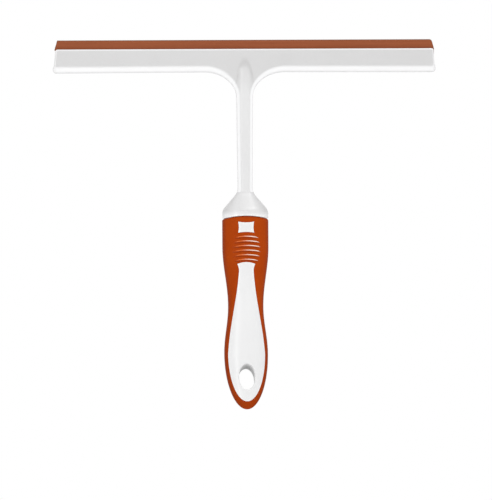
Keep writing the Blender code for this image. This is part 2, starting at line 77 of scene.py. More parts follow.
def spot(x, y, height):
    """A place in the frame, from millimetres."""
    return Vector((x, y, height - HOLD)) * MM


def steps(start, end, count):
    """count + 1 values spread evenly from start to end."""
    return [start + (end - start) * i / count for i in range(count + 1)]


def ease(share):
    """0 to 1 with a soft start and end."""
    return (1 - math.cos(math.pi * min(1, max(0, share)))) / 2


def add(name, data):
    """A new object in the scene."""
    made = bpy.data.objects.new(name, data)
    bpy.context.scene.collection.objects.link(made)
    return made


# %% [markdown]
# ## Camera
# The tool is looked at from the front with a long lens, so its lines stay parallel. The camera is
# level with the middle of the picture and stands a few degrees to the left, which shows a little of
# the hole's right wall, with the slightest roll. The lens follows from the picture's height.

# %% Camera
VIEW_HEIGHT = 331.2  # millimetres from the picture's bottom to its top, at the object
VIEW_MIDDLE = (0.4, 105.3)  # x and height at the picture's centre
CAMERA_AWAY = 4000
CAMERA_TURN = math.radians(3.2)  # round the tool, towards its left
CAMERA_ROLL = math.radians(0.32)
SENSOR = 36
lens_data = bpy.data.cameras.new("studio_camera")
lens_data.sensor_width = SENSOR
lens_data.lens = SENSOR * CAMERA_AWAY / VIEW_HEIGHT
camera = add("studio_camera", lens_data)
camera.location = spot(
    VIEW_MIDDLE[0] - CAMERA_AWAY * math.sin(CAMERA_TURN),
    -CAMERA_AWAY * math.cos(CAMERA_TURN),
    VIEW_MIDDLE[1],
)
camera.rotation_euler = (math.pi / 2, CAMERA_ROLL, -CAMERA_TURN)
bpy.context.scene.camera = camera
print(f"lens {lens_data.lens:.1f} mm, {CAMERA_AWAY} mm away")

# %% [markdown]
# ## Light
# White plastic on white needs a light tent: soft light from everywhere, dimmer from the camera's
# side, so that faces turned to the camera go pale grey and slanted rims stay white. The tent is the
# world's own brightness by direction. Two soft boxes add the long shine on curved gloss.

# %% World and soft boxes
TENT_FRONT = 0.36  # brightness behind the camera
TENT_SIDE = 0.64
TENT_BACK = 1.02
TENT_BELOW = 1.0
TENT_ABOVE = 0.8
TENT_EDGE = 0.35  # where the sides turn into the front and the back
AIM = Vector((0, 0, 0.05))  # what the soft boxes face

world = bpy.data.worlds.new("light_tent")
bpy.context.scene.world = world
world.use_nodes = True
bpy.context.scene.view_settings.view_transform = "Standard"


def soft_box(name, side, height, away, size, power):
    """A rectangular light that faces the tool."""
    data = bpy.data.lights.new(name, "AREA")
    data.shape = "RECTANGLE"
    data.size, data.size_y = size
    data.energy = power
    made = add(name, data)
    made.location = (side, -away, height)
    made.visible_camera = False
    made.rotation_mode = "QUATERNION"
    made.rotation_quaternion = (AIM - made.location).to_track_quat("-Z", "Y")


soft_box("key_box", 0.32, 0.85, 0.8, (0.5, 0.4), 4.2)
soft_box("strip_box", -0.5, 0.05, 1.0, (0.1, 1.0), 2.6)
print("tent and soft boxes ready")

# %% [markdown]
# ## Shader shorthand
# A finish is a small formula over the surface: noise, masks and mixes. `Wire` wraps a socket so
# that Python's + - * / write the Math nodes, and `node` adds any other node by its type.

# %% Wires and finishes
class Wire:
    """A socket carrying a number, a colour or a vector."""

    def __init__(self, wiring, socket):
        self.wiring, self.socket = wiring, socket

    def maths(self, operation, first, second):
        return self.wiring.node("ShaderNodeMath", {0: first, 1: second}, operation=operation)

    def __add__(self, other):
        return self.maths("ADD", self, other)

    def __sub__(self, other):
        return self.maths("SUBTRACT", self, other)

    def __mul__(self, other):
        return self.maths("MULTIPLY", self, other)

    def __truediv__(self, other):
        return self.maths("DIVIDE", self, other)

    def __rsub__(self, other):
        return self.maths("SUBTRACT", other, self)

    def __rtruediv__(self, other):
        return self.maths("DIVIDE", other, self)

    __radd__, __rmul__ = __add__, __mul__


class Wiring:
    """A node tree that is being wired."""

    def __init__(self, tree):
        self.tree = tree

    def plug(self, socket, value):
        if isinstance(value, Wire):
            self.tree.links.new(value.socket, socket)
        else:
            socket.default_value = value

    def node(self, kind, inputs=None, output=0, **settings):
        """Any node: the values or wires of its sockets, the output it gives, and its settings."""
        made = self.tree.nodes.new(kind)
        for name, value in settings.items():
            setattr(made, name, value)
        for name, value in (inputs or {}).items():
            self.plug(made.inputs[name], value)
        return Wire(self, made.outputs[output]) if made.outputs else made

    def vector(self, x=0, y=0, z=0):
        return self.node("ShaderNodeCombineXYZ", {0: x, 1: y, 2: z})

    def parts(self, vector):
        """The x, y and z of a vector."""
        made = self.node("ShaderNodeSeparateXYZ", {0: vector}).socket.node
        return [Wire(self, socket) for socket in made.outputs]

    def spread(self, value, low, high, to_low=0, to_high=1):
        """The value's range low to high stretched to another range, and clamped."""
        inputs = {"Value": value, 1: low, 2: high, 3: to_low, 4: to_high}
        return self.node("ShaderNodeMapRange", inputs, clamp=True)


class Finish(Wiring):
    """A procedural material."""

    def __init__(self, name, **constants):
        self.material = bpy.data.materials.new(name)
        self.material.use_nodes = True
        super().__init__(self.material.node_tree)
        self.shader = self.tree.nodes["Principled BSDF"]
        self.surface(**constants)
        self.place = self.node("ShaderNodeTexCoord", output="Object")

    def noise(self, scale, detail=2, roughness=0.5, stretch=(1, 1, 1)):
        """A number from 0 to 1 that wanders over the surface, scale times a metre."""
        place = self.node("ShaderNodeMapping", {"Vector": self.place, "Scale": stretch})
        inputs = {"Vector": place, "Scale": scale, "Detail": detail, "Roughness": roughness}
        return self.node("ShaderNodeTexNoise", inputs)

    def mix(self, share, first, second):
        """A colour between two."""
        return self.node("ShaderNodeMix", {0: share, 6: first, 7: second}, 2, data_type="RGBA")

    def mask(self, name):
        """A number painted on the mesh's points."""
        return self.node("ShaderNodeAttribute", None, "Fac", attribute_name=name)

    def surface(self, **links):
        """Plugs the shader's sockets. A socket's spaces are written as underscores."""
        for socket, value in links.items():
            self.plug(self.shader.inputs[socket.replace("_", " ")], value)

    def bump(self, height, strength, distance):
        inputs = {"Height": height, "Strength": strength, "Distance": distance}
        self.surface(Normal=self.node("ShaderNodeBump", inputs))


print("shader shorthand ready")

# %% [markdown]
# The tent's brightness is a sum over the direction's parts. Only light and reflections see it: the
# camera's own rays meet plain white.

# %% The tent's brightness
tent = world.node_tree
tent.nodes.clear()
sky = Wiring(tent)
heading = sky.node("ShaderNodeTexCoord", output="Generated")
_, to_back, to_top = sky.parts(heading)
toward_front = sky.spread(to_back * -1, TENT_EDGE, 1)
toward_back = sky.spread(to_back, TENT_EDGE, 1)
upward = sky.spread(to_top, 0, 1)
downward = sky.spread(to_top * -1, 0, 1)
level = TENT_SIDE + toward_front * (TENT_FRONT - TENT_SIDE)
level = level + toward_back * (TENT_BACK - TENT_SIDE)
level = level + upward * (TENT_ABOVE - TENT_SIDE) + downward * (TENT_BELOW - TENT_SIDE)
seen = sky.node("ShaderNodeLightPath", output="Is Camera Ray")
level = level * (1 - seen) + seen
WHITE = (1, 1, 1, 1)
glow = sky.node("ShaderNodeBackground", {"Color": WHITE, "Strength": level})
sky.node("ShaderNodeOutputWorld", {"Surface": glow})
print(f"tent of {len(tent.nodes)} nodes")

# %% [markdown]
# ## Floor
# A wide sheet of pale paper lies well below the tool, where no shadow of it shows.

# %% Floor
FLOOR_DROP = 450
FLOOR_SIZE = 14
FLOOR_GLOW = 0.06
paper_data = bpy.data.meshes.new("paper_floor")
half = FLOOR_SIZE / 2
low = spot(0, 0, -FLOOR_DROP).z
corners = [(-half, -half, low), (half, -half, low), (half, half, low), (-half, half, low)]
paper_data.from_pydata(corners, [], [(0, 1, 2, 3)])
paper = add("paper_floor", paper_data)
paper_finish = Finish("pale_paper", Roughness=0.9)
paper_finish.surface(Emission_Color=WHITE, Emission_Strength=FLOOR_GLOW)
fibres = paper_finish.noise(400, 4)
paper_tone = paper_finish.mix(fibres, (0.93, 0.93, 0.93, 1), (0.96, 0.96, 0.96, 1))
paper_finish.surface(Base_Color=paper_tone)
paper_data.materials.append(paper_finish.material)
print(f"floor {FLOOR_DROP} mm under the tip")

# %% [markdown]
# ## White plastic
# The head, collar and core are moulded in one white plastic. It is satin but never perfectly even:
# the surface has a faint orange peel and its shine drifts over a few centimetres. Painted highlight
# makes the bevels and thin edges paler, and painted shade greys the face, the valleys beside the
# ridge, the collar's sides and, most of all, the inside of the hanging hole.

# %% White plastic
def white_plastic(name, tone):
    """The moulded white, a little lighter or darker by its tone."""
    finish = Finish(name, IOR=1.46, Specular_IOR_Level=0.5)
    cloud = finish.noise(28, 3)
    peel = finish.noise(900, 2)
    fine = finish.noise(5200, 3)
    edge = finish.mask("edge")
    painted_shade = finish.mask("painted_shade")
    dull = tuple(tone * part for part in (0.755, 0.755, 0.757))
    clean = tuple(tone * part for part in (0.785, 0.785, 0.786))
    colour = finish.mix(finish.spread(cloud, 0.3, 0.7), (*dull, 1), (*clean, 1))
    # Painted shade: this mask greys the face, the ridge's valleys, the collar's sides and the cone.
    colour = finish.mix(painted_shade, colour, (0.58, 0.575, 0.575, 1))
    # Painted highlight: the edge mask makes the bevels and thin edges paler.
    colour = finish.mix(edge, colour, (0.97, 0.97, 0.975, 1))
    # Painted shade: the deep mask darkens the inside of the hanging hole.
    colour = finish.mix(finish.mask("deep"), colour, (0.1, 0.1, 0.1, 1))
    shine = finish.spread(cloud, 0.3, 0.7, 0.22, 0.3) + finish.spread(fine, 0.35, 0.65, 0, 0.05)
    finish.surface(Base_Color=colour, Roughness=shine - edge * 0.08)
    finish.bump(peel * 0.7 + fine * 0.3, 0.12, 0.00006)
    return finish.material


PLASTIC = white_plastic("white_plastic", 1)
# The core is the same white plastic. Its copy is painted 7% lighter, as painted light.
LIT_CORE_PLASTIC = white_plastic("lit_core_plastic", 1.07)

# %% [markdown]
# ## Orange rubber
# The grip is a soft moulded rubber with a dry, fine grain. Its colour is deep orange, with painted
# shade along its top rim, towards its sides, its bottom and its left. The raised finger ribs are the
# same rubber, glossier, with a painted highlight along their crests and painted shade under them.

# %% Orange rubber
def orange_rubber(name, roughness, grain, coat):
    finish = Finish(name, IOR=1.5, Coat_Roughness=0.12, Specular_IOR_Level=0.04)
    blotch = finish.noise(60, 4)
    speck = finish.noise(3200, 3, 0.6)
    pebble = finish.noise(1500, 2)
    edge = finish.mask("edge")
    colour = finish.mix(
        finish.spread(blotch, 0.3, 0.7), (0.39, 0.047, 0.002, 1), (0.445, 0.061, 0.003, 1)
    )
    colour = finish.mix(finish.spread(speck, 0.45, 0.7) * 0.4, colour, (0.30, 0.033, 0.002, 1))
    # Painted shade: the edge mask darkens the grip's top rim, sides, bottom and left, and the ribs'
    # undersides.
    colour = finish.mix(edge * 0.6, colour, (0.16, 0.018, 0.002, 1))
    # Painted highlight: the ribs' tops are painted pale, whitest on the right and orange on the left.
    crest_highlight = finish.mix(finish.mask("painted_light_level"), (0.8, 0.2, 0.05, 1), (1, 0.9, 0.82, 1))
    colour = finish.mix(finish.mask("crest_highlight"), colour, crest_highlight)
    rough = finish.spread(blotch, 0.3, 0.7, roughness - 0.04, roughness + 0.04)
    finish.surface(Base_Color=colour, Roughness=rough + finish.spread(speck, 0.4, 0.7, 0, 0.05))
    finish.surface(Coat_Weight=finish.spread(blotch, 0.3, 0.7, coat * 0.8, coat))
    finish.bump(pebble * 0.5 + speck * 0.5, grain, 0.00008)
    return finish.material


GRIP_RUBBER = orange_rubber("orange_rubber", 0.5, 0.35, 0)
RIB_RUBBER = orange_rubber("orange_rib_rubber", 0.25, 0.1, 0.15)

# %% [markdown]
# ## Blade rubber
# The blade is a dull brown rubber, extruded, so faint streaks run along it. The wiping edge is cut
# after extrusion. The top of the wiping edge and the strip's ends are darker and rougher.

# %% Blade rubber
blade_finish = Finish("brown_rubber", IOR=1.5, Specular_IOR_Level=0.15)
streak = blade_finish.noise(160, 4, 0.6, (0.12, 4, 4))
dust = blade_finish.noise(3800, 3, 0.6)
cut = blade_finish.mask("cut")
tone = blade_finish.mix(
    blade_finish.spread(streak, 0.3, 0.7), (0.285, 0.076, 0.028, 1), (0.33, 0.092, 0.035, 1)
)
tone = blade_finish.mix(blade_finish.spread(dust, 0.5, 0.8) * 0.25, tone, (0.37, 0.13, 0.06, 1))
tone = blade_finish.mix(cut * 0.75, tone, (0.16, 0.055, 0.026, 1))
dullness = blade_finish.spread(streak, 0.3, 0.7, 0.5, 0.62) + cut * 0.15
blade_finish.surface(Base_Color=tone, Roughness=dullness)
blade_finish.bump(streak * 0.4 + dust * 0.6, 0.3, 0.00008)
BLADE_RUBBER = blade_finish.material
print("finishes:", [m.name for m in (PLASTIC, LIT_CORE_PLASTIC, GRIP_RUBBER, RIB_RUBBER, BLADE_RUBBER)])

# %% [markdown]
# ## Mesh helpers
# Most faces here are smooth sheets with openings whose rims roll inwards. Cutting such holes with a
# Boolean leaves ragged rims. Instead each sheet is laid out flat, the openings are drawn in it, the
# flat region is filled with even triangles, and a formula lifts every point into place. Rims are
# then added as rows of quads that start on the very points of the opening.

# %% Filling a flat region
def inside(points, loop):
    """Which of the points lie inside a closed loop."""
    across, up = points.T
    found = np.zeros(len(points), bool)
    for (x0, y0), (x1, y1) in zip(loop, np.roll(loop, -1, axis=0)):
        if y0 == y1:
            continue
        crosses = (y0 > up) != (y1 > up)
        found ^= crosses & (across < (x1 - x0) * (up - y0) / (y1 - y0) + x0)
    return found


def region(points, loops):
    kept = inside(points, loops[0])
    for hole in loops[1:]:
        kept &= ~inside(points, hole)
    return kept


def fill(edit, loops, place, pitch):
    """Triangles inside the first flat loop and outside the rest. Returns each loop's points."""
    loops = [np.array(loop, float) for loop in loops]
    rim = np.concatenate(loops)
    low, high = rim.min(0), rim.max(0)
    grid = []
    for row, up in enumerate(np.arange(low[1] + pitch / 2, high[1], pitch * 0.866)):
        start = low[0] + pitch * (0.5 if row % 2 else 0.25)
        grid += [(across, up) for across in np.arange(start, high[0], pitch)]
    grid = np.array(grid)
    grid = grid[region(grid, loops)]
    near = kdtree.KDTree(len(rim))
    for i, (across, up) in enumerate(rim):
        near.insert((across, up, 0), i)
    near.balance()
    grid = [point for point in grid if near.find((*point, 0))[2] > pitch * 0.6]
    points = [Vector(point) for point in (*rim, *grid)]
    edges, start = [], 0
    for loop in loops:
        count = len(loop)
        edges += [(start + i, start + (i + 1) % count) for i in range(count)]
        start += count
    flat, _, faces, origins, _, _ = geometry.delaunay_2d_cdt(points, edges, [], 0, 1e-7)
    centres = [sum((flat[i] for i in face), Vector((0, 0))) / len(face) for face in faces]
    made = [edit.verts.new(place(*point)) for point in flat]
    for face, kept in zip(faces, region(np.array(centres), loops)):
        if kept:
            edit.faces.new([made[i] for i in face])
    owner = {first: made[i] for i, firsts in enumerate(origins) for first in firsts}
    found, start = [], 0
    for loop in loops:
        found.append([owner[start + i] for i in range(len(loop))])
        start += len(loop)
    return found


# %% Rows and finished pieces
def row(edit, points):
    return [edit.verts.new(point) for point in points]


def strip(edit, first, second, closed=True):
    """Quads between two rows of points."""
    count = len(first)
    for i in range(count if closed else count - 1):
        j = (i + 1) % count
        edit.faces.new((first[i], first[j], second[j], second[i]))


def next_row(edit, last, points):
    """A new row, joined to the last one."""
    ring = row(edit, points)
    strip(edit, last, ring)
    return ring


def loft(edit, rows, closed=True):
    """Strips from each row to the next."""
    for first, second in zip(rows, rows[1:]):
        strip(edit, first, second, closed)


def quarter(radius, shares=(0.25, 0.5, 0.75, 1)):
    """A quarter round, step by step: how far it has come one way, and has left the other way."""
    angles = [share * math.pi / 2 for share in shares]
    return [(radius * (1 - math.cos(turn)), radius * (1 - math.sin(turn))) for turn in angles]


def close_up(edit):
    """Joins points that lie on each other and turns the faces outwards."""
    bmesh.ops.remove_doubles(edit, verts=edit.verts, dist=2e-6)
    loose = [vert for vert in edit.verts if not vert.link_faces]
    bmesh.ops.delete(edit, geom=loose, context="VERTS")
    bmesh.ops.recalc_face_normals(edit, faces=edit.faces)


def as_object(name, edit, material):
    """An object of the edited mesh."""
    mesh = bpy.data.meshes.new(name)
    edit.to_mesh(mesh)
    edit.free()
    mesh.materials.append(material)
    return add(name, mesh)


def box_cutter(size, centre):
    """A helper box, its size in millimetres."""
    edit = bmesh.new()
    matrix = Matrix.Translation(centre) @ Matrix.Diagonal([part * MM for part in size] + [1])
    bmesh.ops.create_cube(edit, size=1, matrix=matrix)
    return edit


def carve(made, operation, edits):
    """Booleans the object with helper meshes and keeps only the result."""
    helpers = []
    for edit in edits:
        helper = as_object("helper", edit, made.data.materials[0])
        helpers.append(helper)
        step = made.modifiers.new("step", "BOOLEAN")
        step.operation = operation
        step.solver = "EXACT"
        step.object = helper
    graph = bpy.context.evaluated_depsgraph_get()
    mesh = bpy.data.meshes.new_from_object(made.evaluated_get(graph))
    made.modifiers.clear()
    made.data = mesh
    for helper in helpers:
        bpy.data.objects.remove(helper)


def settle(made, body, slot, *nodes, crease=38):
    """Shading, body and the CAD nodes that the piece stands for, which are hidden. The slot is not used."""
    mesh = made.data
    mesh.shade_smooth()
    mesh.set_sharp_from_angle(angle=math.radians(crease))
    if body:
        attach(made, body)
    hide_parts(*nodes)
    mesh.calc_loop_triangles()
    edit = bmesh.new()
    edit.from_mesh(mesh)
    open_edges = sum(1 for edge in edit.edges if len(edge.link_faces) != 2)
    edit.free()
    print(f"{made.name}: {len(mesh.loop_triangles)} triangles, {open_edges} open edges")


# %% [markdown]
# ## The handle's shape
# The handle is a squared oval in section. It swells at the palm, narrows at the waist, widens again
# under the collar, and its lower end curves forward. `on_handle` is the whole shape in one formula:
# a flat map, as far round and as far up, wrapped onto the handle at any depth below its surface.
# The grip, the inlay and the core all use it, so they nest without touching.

# %% The handle's shape
BULGE_HEIGHT = 36.6
FULL_HEIGHT = 108  # above this the sides run straight
GRIP_CORNER = 1.6
BULGE_SIZE = (29, 19)
WAIST_SIZE = (23.4, 17.4)
TOP_SIZE = (30.6, 22)
SECTION_POWER = 2.4
CURVE_START = 60
TILT = math.radians(13)
GRIP_WALL = 2.4
CORE_INSET = 2.7
HOLE_HEIGHT = 19.9
HOLE_SIZE = (10.6, 16.8)
SLEEVE_WALL = 1.5
TIP_RUN = 42  # length of the map over the rounded tip
ROUND = 12.5  # length of the map for each radian round the handle
ARCH_FULL = GRIP_LENGTH - GRIP_CORNER


def handle_centre(height):
    below = max(0, CURVE_START - height)
    return -(below**2) * math.tan(TILT) / (2 * (CURVE_START - HOLE_HEIGHT))


def handle_half(height, axis, inset):
    bulge, waist, top = BULGE_SIZE[axis] / 2, WAIST_SIZE[axis] / 2, TOP_SIZE[axis] / 2
    if height < BULGE_HEIGHT:
        drop = (BULGE_HEIGHT - height) / (BULGE_HEIGHT - inset)
        return (bulge - inset) * math.sqrt(max(1e-9, 1 - drop**2))
    if height < HOLD:
        share = ease((height - BULGE_HEIGHT) / (HOLD - BULGE_HEIGHT))
        return bulge + (waist - bulge) * share - inset
    return waist + (top - waist) * ease((height - HOLD) / (FULL_HEIGHT - HOLD)) - inset


def handle_halves(height, inset=0):
    """Half the handle's width and depth."""
    return handle_half(height, 0, inset), handle_half(height, 1, inset)


def arch_share(height):
    return min(1, max(0, (height - FULL_HEIGHT) / (ARCH_FULL - FULL_HEIGHT)))


def oval_reach(turn, across, deep, power):
    """Distance from the middle of a squared oval to its side."""
    reach = (abs(math.cos(turn)) / across) ** power + (abs(math.sin(turn)) / deep) ** power
    return reach ** (-1 / power)


def on_handle(around, run, inset=0, lift=0):
    """The place (x, y, height) of a point of the flat map, inset below the handle's surface."""
    if run < TIP_RUN:
        height = BULGE_HEIGHT - (BULGE_HEIGHT - inset) * math.cos(run / TIP_RUN * math.pi / 2)
    else:
        height = BULGE_HEIGHT + run - TIP_RUN
    across, deep = handle_halves(height, inset)
    turn = around / ROUND
    reach = oval_reach(turn, across, deep, SECTION_POWER)
    x, y = reach * math.cos(turn), reach * math.sin(turn)
    height_here = height + arch_share(height) * GRIP_ARCH * (1 - (x / across) ** 2)
    return x, handle_centre(height) + y, height_here + lift


def map_run(height, inset=0):
    if height < BULGE_HEIGHT:
        return TIP_RUN * math.acos((BULGE_HEIGHT - height) / (BULGE_HEIGHT - inset)) * 2 / math.pi
    return TIP_RUN + height - BULGE_HEIGHT


def on_map(x, height):
    """Where a place on the handle's front lies on the flat map."""
    if height > FULL_HEIGHT:
        bow = GRIP_ARCH * (1 - (2 * x / TOP_SIZE[0]) ** 2) / (ARCH_FULL - FULL_HEIGHT)
        height = (height + FULL_HEIGHT * bow) / (1 + bow)
    across, deep = handle_halves(height)
    y = -deep * (1 - (abs(x) / across) ** SECTION_POWER) ** (1 / SECTION_POWER)
    return math.atan2(y, x) * ROUND, map_run(height)


# %% [markdown]
# The openings in the handle are outlines: the keyhole of the inlay, the small window, and the oval
# drill of the hanging hole, which runs through at the slope of the handle's curved end.

# %% Outlines of the openings
INLAY_BOTTOM = 5.2
INLAY_BULGE = 24.9
INLAY_NECK = 10
INLAY_TOP = 96.2
INLAY_HORN = 4.6
INLAY_FLARE = 12.2
INLAY_ARCH = 1.2
WINDOW_SIZE = (11, 7.5)
WINDOW_PINCH = 0.5
WINDOW_HEIGHT = GRIP_LENGTH - 5.6


def inlay_outline(inset):
    """The keyhole as (x, height) points, counted up the right side from the bottom."""
    right = []
    half = INLAY_BULGE / 2 - inset
    drop = BULGE_HEIGHT - INLAY_BOTTOM - inset
    for turn in steps(0, math.pi / 2, 44)[:-1]:
        right.append((half * math.sin(turn), BULGE_HEIGHT - drop * math.cos(turn)))
    neck = INLAY_NECK / 2 - inset
    neck_height = INLAY_TOP - INLAY_HORN
    for share in steps(0, 1, 48)[:-1]:
        narrowed = (share + ease(share)) / 2
        height = BULGE_HEIGHT + (neck_height - BULGE_HEIGHT) * share
        right.append((half + (neck - half) * narrowed, height))
    flare = (INLAY_FLARE - INLAY_NECK) / 2
    for share in steps(0, 1, 8):
        height = neck_height + (INLAY_TOP - inset - neck_height) * share
        right.append((neck + flare * share**2, height))
    across = neck + flare
    arch = []
    for x in steps(across, -across, 20)[1:-1]:
        arch.append((x, INLAY_TOP - inset + INLAY_ARCH * (1 - (x / across) ** 2)))
    return right + arch + [(-x, height) for x, height in reversed(right[1:])]


def window_outline(inset):
    """A small rectangle whose sides bow inwards."""
    half, tall = WINDOW_SIZE[0] / 2 - inset, WINDOW_SIZE[1] / 2 - inset
    points = []
    for side in (-1, 1):
        for share in steps(side, -side, 16)[:-1]:
            bowed = tall - WINDOW_PINCH * (1 - share**2)
            points.append((half * share, WINDOW_HEIGHT + side * bowed))
        for share in steps(side, -side, 12)[:-1]:
            bowed = half - WINDOW_PINCH * (1 - share**2)
            points.append((-side * bowed, WINDOW_HEIGHT + tall * share))
    return points


def drill_spot(turn, grow, along):
    """A place (x, y, height) on the oval drill, along it from the middle towards the back."""
    side = math.cos(turn) * (HOLE_SIZE[0] / 2 + grow)
    rise = math.sin(turn) * (HOLE_SIZE[1] / 2 + grow)
    y = handle_centre(HOLE_HEIGHT) + rise * math.sin(TILT) + along * math.cos(TILT)
    return side, y, HOLE_HEIGHT + rise * math.cos(TILT) - along * math.sin(TILT)


def drill_reach(turn, grow, inset, side):
    """How far along the drill it comes out of the handle's surface: side -1 front, 1 back."""
    near, far = 0.0, 16.0
    for _ in range(40):
        middle = (near + far) / 2
        x, y, height = drill_spot(turn, grow, side * middle)
        across, deep = handle_halves(height, inset)
        out = (abs(x) / across) ** SECTION_POWER
        out += (abs(y - handle_centre(height)) / deep) ** SECTION_POWER
        near, far = (near, middle) if out > 1 else (middle, far)
    return side * near


HOLE_TURNS = steps(0, 2 * math.pi, 96)[:-1]


def drill_on_map(grow, inset, side):
    points = []
    for turn in HOLE_TURNS:
        x, y, height = drill_spot(turn, grow, drill_reach(turn, grow, inset, side))
        around = math.atan2(y - handle_centre(height), x) * ROUND
        points.append((around, map_run(height, inset)))
    return points


print(f"hole at {HOLE_HEIGHT} mm, {HOLE_SIZE[0]} x {HOLE_SIZE[1]} mm")

# %% [markdown]
# ## The grip
# One soft skin, open at the top where the collar sits, with three openings: the window and the
# keyhole in front, and the sleeve's oval behind. Rims cut from a subdivided cage would pucker, and
# filling the flat map keeps them even. Each rim is a quarter round.

# %% The grip
ROLL = 0.2  # radius of the rims
PITCH = 1.1
MAP_TURN = math.pi * ROUND
MAP_LOW = map_run(0.12)
MAP_HIGH = map_run(ARCH_FULL)
AROUND = {-1: steps(-MAP_TURN, 0, 44), 1: steps(0, MAP_TURN, 44)}
RUNS = steps(MAP_LOW, MAP_HIGH, 110)


def border(across, runs):
    """The border of a stretch of the map, from its lower left corner."""
    points = [(a, runs[0]) for a in across[:-1]] + [(across[-1], v) for v in runs[:-1]]
    points += [(a, runs[-1]) for a in reversed(across[1:])]
    return points + [(across[0], v) for v in reversed(runs[1:])]


def front_opening(outline):
    return lambda offset, inset: [on_map(x, height) for x, height in outline(-offset)]


def back_opening(offset, inset):
    return drill_on_map(SLEEVE_WALL + 0.08 + offset, inset, 1)


def skin(inset):
    return lambda around, run: spot(*on_handle(around, run, inset))


GRIP_OPENINGS = {
    -1: [front_opening(inlay_outline), front_opening(window_outline)],
    1: [back_opening],
}

grip_edit = bmesh.new()
grip_shade_layer = grip_edit.verts.layers.float.new("edge")
for side, openings in GRIP_OPENINGS.items():
    edge_loop = border(AROUND[side], RUNS)
    outer = fill(grip_edit, [edge_loop, *(o(ROLL, 0) for o in openings)], skin(0), PITCH)
    loops = [edge_loop, *(o(0, GRIP_WALL) for o in openings)]
    inner = fill(grip_edit, loops, skin(GRIP_WALL), PITCH * 2)
    for opening, start, end in zip(openings, outer[1:], inner[1:]):
        for inset, offset in quarter(ROLL):
            places = [spot(*on_handle(a, v, inset)) for a, v in opening(offset, inset)]
            start = next_row(grip_edit, start, places)
        strip(grip_edit, start, end)

AROUND_ALL = AROUND[-1][:-1] + AROUND[1][:-1]
# Each rim row's third value is painted shade along the grip's top rim, rising over the rounding to its
# inside.
RIM_PROFILE = [(0, 0, 0)]
for turn in (0.17, 0.33, 0.5, 0.67, 0.83, 1):
    angle = turn * math.pi / 2
    RIM_PROFILE.append((GRIP_CORNER * (1 - math.cos(angle)), GRIP_CORNER * math.sin(angle), turn))
RIM_PROFILE += [(GRIP_WALL, GRIP_CORNER, 1), (GRIP_WALL, 0, 1)]
rows_made = []
for inset, lift, painted_light_level in RIM_PROFILE:
    ring = row(grip_edit, [spot(*on_handle(a, MAP_HIGH, inset, lift)) for a in AROUND_ALL])
    for vert in ring:
        vert[grip_shade_layer] = painted_light_level
    rows_made.append(ring)
loft(grip_edit, rows_made)
for inset in (0, GRIP_WALL):
    ring = row(grip_edit, [spot(*on_handle(a, MAP_LOW, inset)) for a in AROUND_ALL])
    pole = grip_edit.verts.new(spot(0, handle_centre(inset), inset))
    for i, vert in enumerate(ring):
        grip_edit.faces.new((vert, ring[(i + 1) % len(ring)], pole))
close_up(grip_edit)
# Painted shade on the grip: darker towards the bottom, near the sides and on the left, and along the top
# rim.
for vert in grip_edit.verts:
    height = vert.co.z / MM + HOLD
    share = vert.co.x / MM / handle_half(min(height, ARCH_FULL), 0, 0) if height > 0.5 else 0
    low = 0.35 * (1 - ease((height - 4) / 60))
    side = ease((abs(share) - 0.82) / 0.16) * 0.55
    left = 0.16 * ease((0.2 - share) / 1.2)
    vert[grip_shade_layer] = min(1, max(vert[grip_shade_layer] * 0.8, low + side + left))
grip_skin = as_object("grip_skin", grip_edit, GRIP_RUBBER)
settle(grip_skin, "frame", "grip_rubber", "grip", crease=50)

# %% [markdown]
# ## Finger ribs
# Six bowed ribs cross the grip's front, longest in the middle. They repeat by a rule and follow a
# surface, which suits Geometry Nodes: a column of points carries one line each, the lines are
# bowed, dropped onto the grip by a ray, sunk at their ends, and thickened.

# %% Finger ribs with Geometry Nodes
RIB_INPUTS = {
    "Grip": ("NodeSocketObject", None),
    "Rows": ("NodeSocketInt", 6),
    "Pitch": ("NodeSocketFloat", 3.04 * MM),
    "Middle": ("NodeSocketFloat", spot(0, 0, GRIP_LENGTH - 20.1).z),
    "Bow": ("NodeSocketFloat", 1.0 * MM),
    "Longest": ("NodeSocketFloat", 19 * MM),
    "Shortest": ("NodeSocketFloat", 15 * MM),
    "Thickness": ("NodeSocketFloat", 0.85 * MM),
    "Finish": ("NodeSocketMaterial", None),
}

rib_tree = bpy.data.node_groups.new("finger_ribs", "GeometryNodeTree")
for name, (kind, value) in RIB_INPUTS.items():
    socket = rib_tree.interface.new_socket(name, in_out="INPUT", socket_type=kind)
    if value is not None:
        socket.default_value = value
rib_tree.interface.new_socket("Geometry", in_out="OUTPUT", socket_type="NodeSocketGeometry")
ribs = Wiring(rib_tree)
group_in = rib_tree.nodes.new("NodeGroupInput")
given = {name: Wire(ribs, group_in.outputs[name]) for name in RIB_INPUTS}
inputs = {"Count": given["Rows"], "Offset": ribs.vector(z=given["Pitch"])}
column = ribs.node("GeometryNodeMeshLine", inputs)
index = ribs.node("GeometryNodeInputIndex")
from_middle = index - (given["Rows"] - 1) / 2
fall = from_middle / (given["Rows"] / 2)
half_length = (given["Longest"] - (given["Longest"] - given["Shortest"]) * fall * fall) / 2
line = ribs.node("GeometryNodeCurvePrimitiveLine", {"Start": (-1, 0, 0), "End": (1, 0, 0)})
line = ribs.node("GeometryNodeResampleCurve", {"Curve": line, "Count": 49})
low_point = given["Middle"] - given["Pitch"] * (given["Rows"] - 1) / 2
inputs = {"Points": column, "Instance": line, "Scale": ribs.vector(half_length, 1, 1)}
lines = ribs.node("GeometryNodeInstanceOnPoints", inputs)
lines = ribs.node("GeometryNodeRealizeInstances", {0: lines})
along = ribs.node("GeometryNodeSplineParameter") * 2 - 1
square = along * along
rib_x, _, rib_z = ribs.parts(ribs.node("GeometryNodeInputPosition"))
rib_z = rib_z + low_point + given["Bow"] * (0.5 - square)
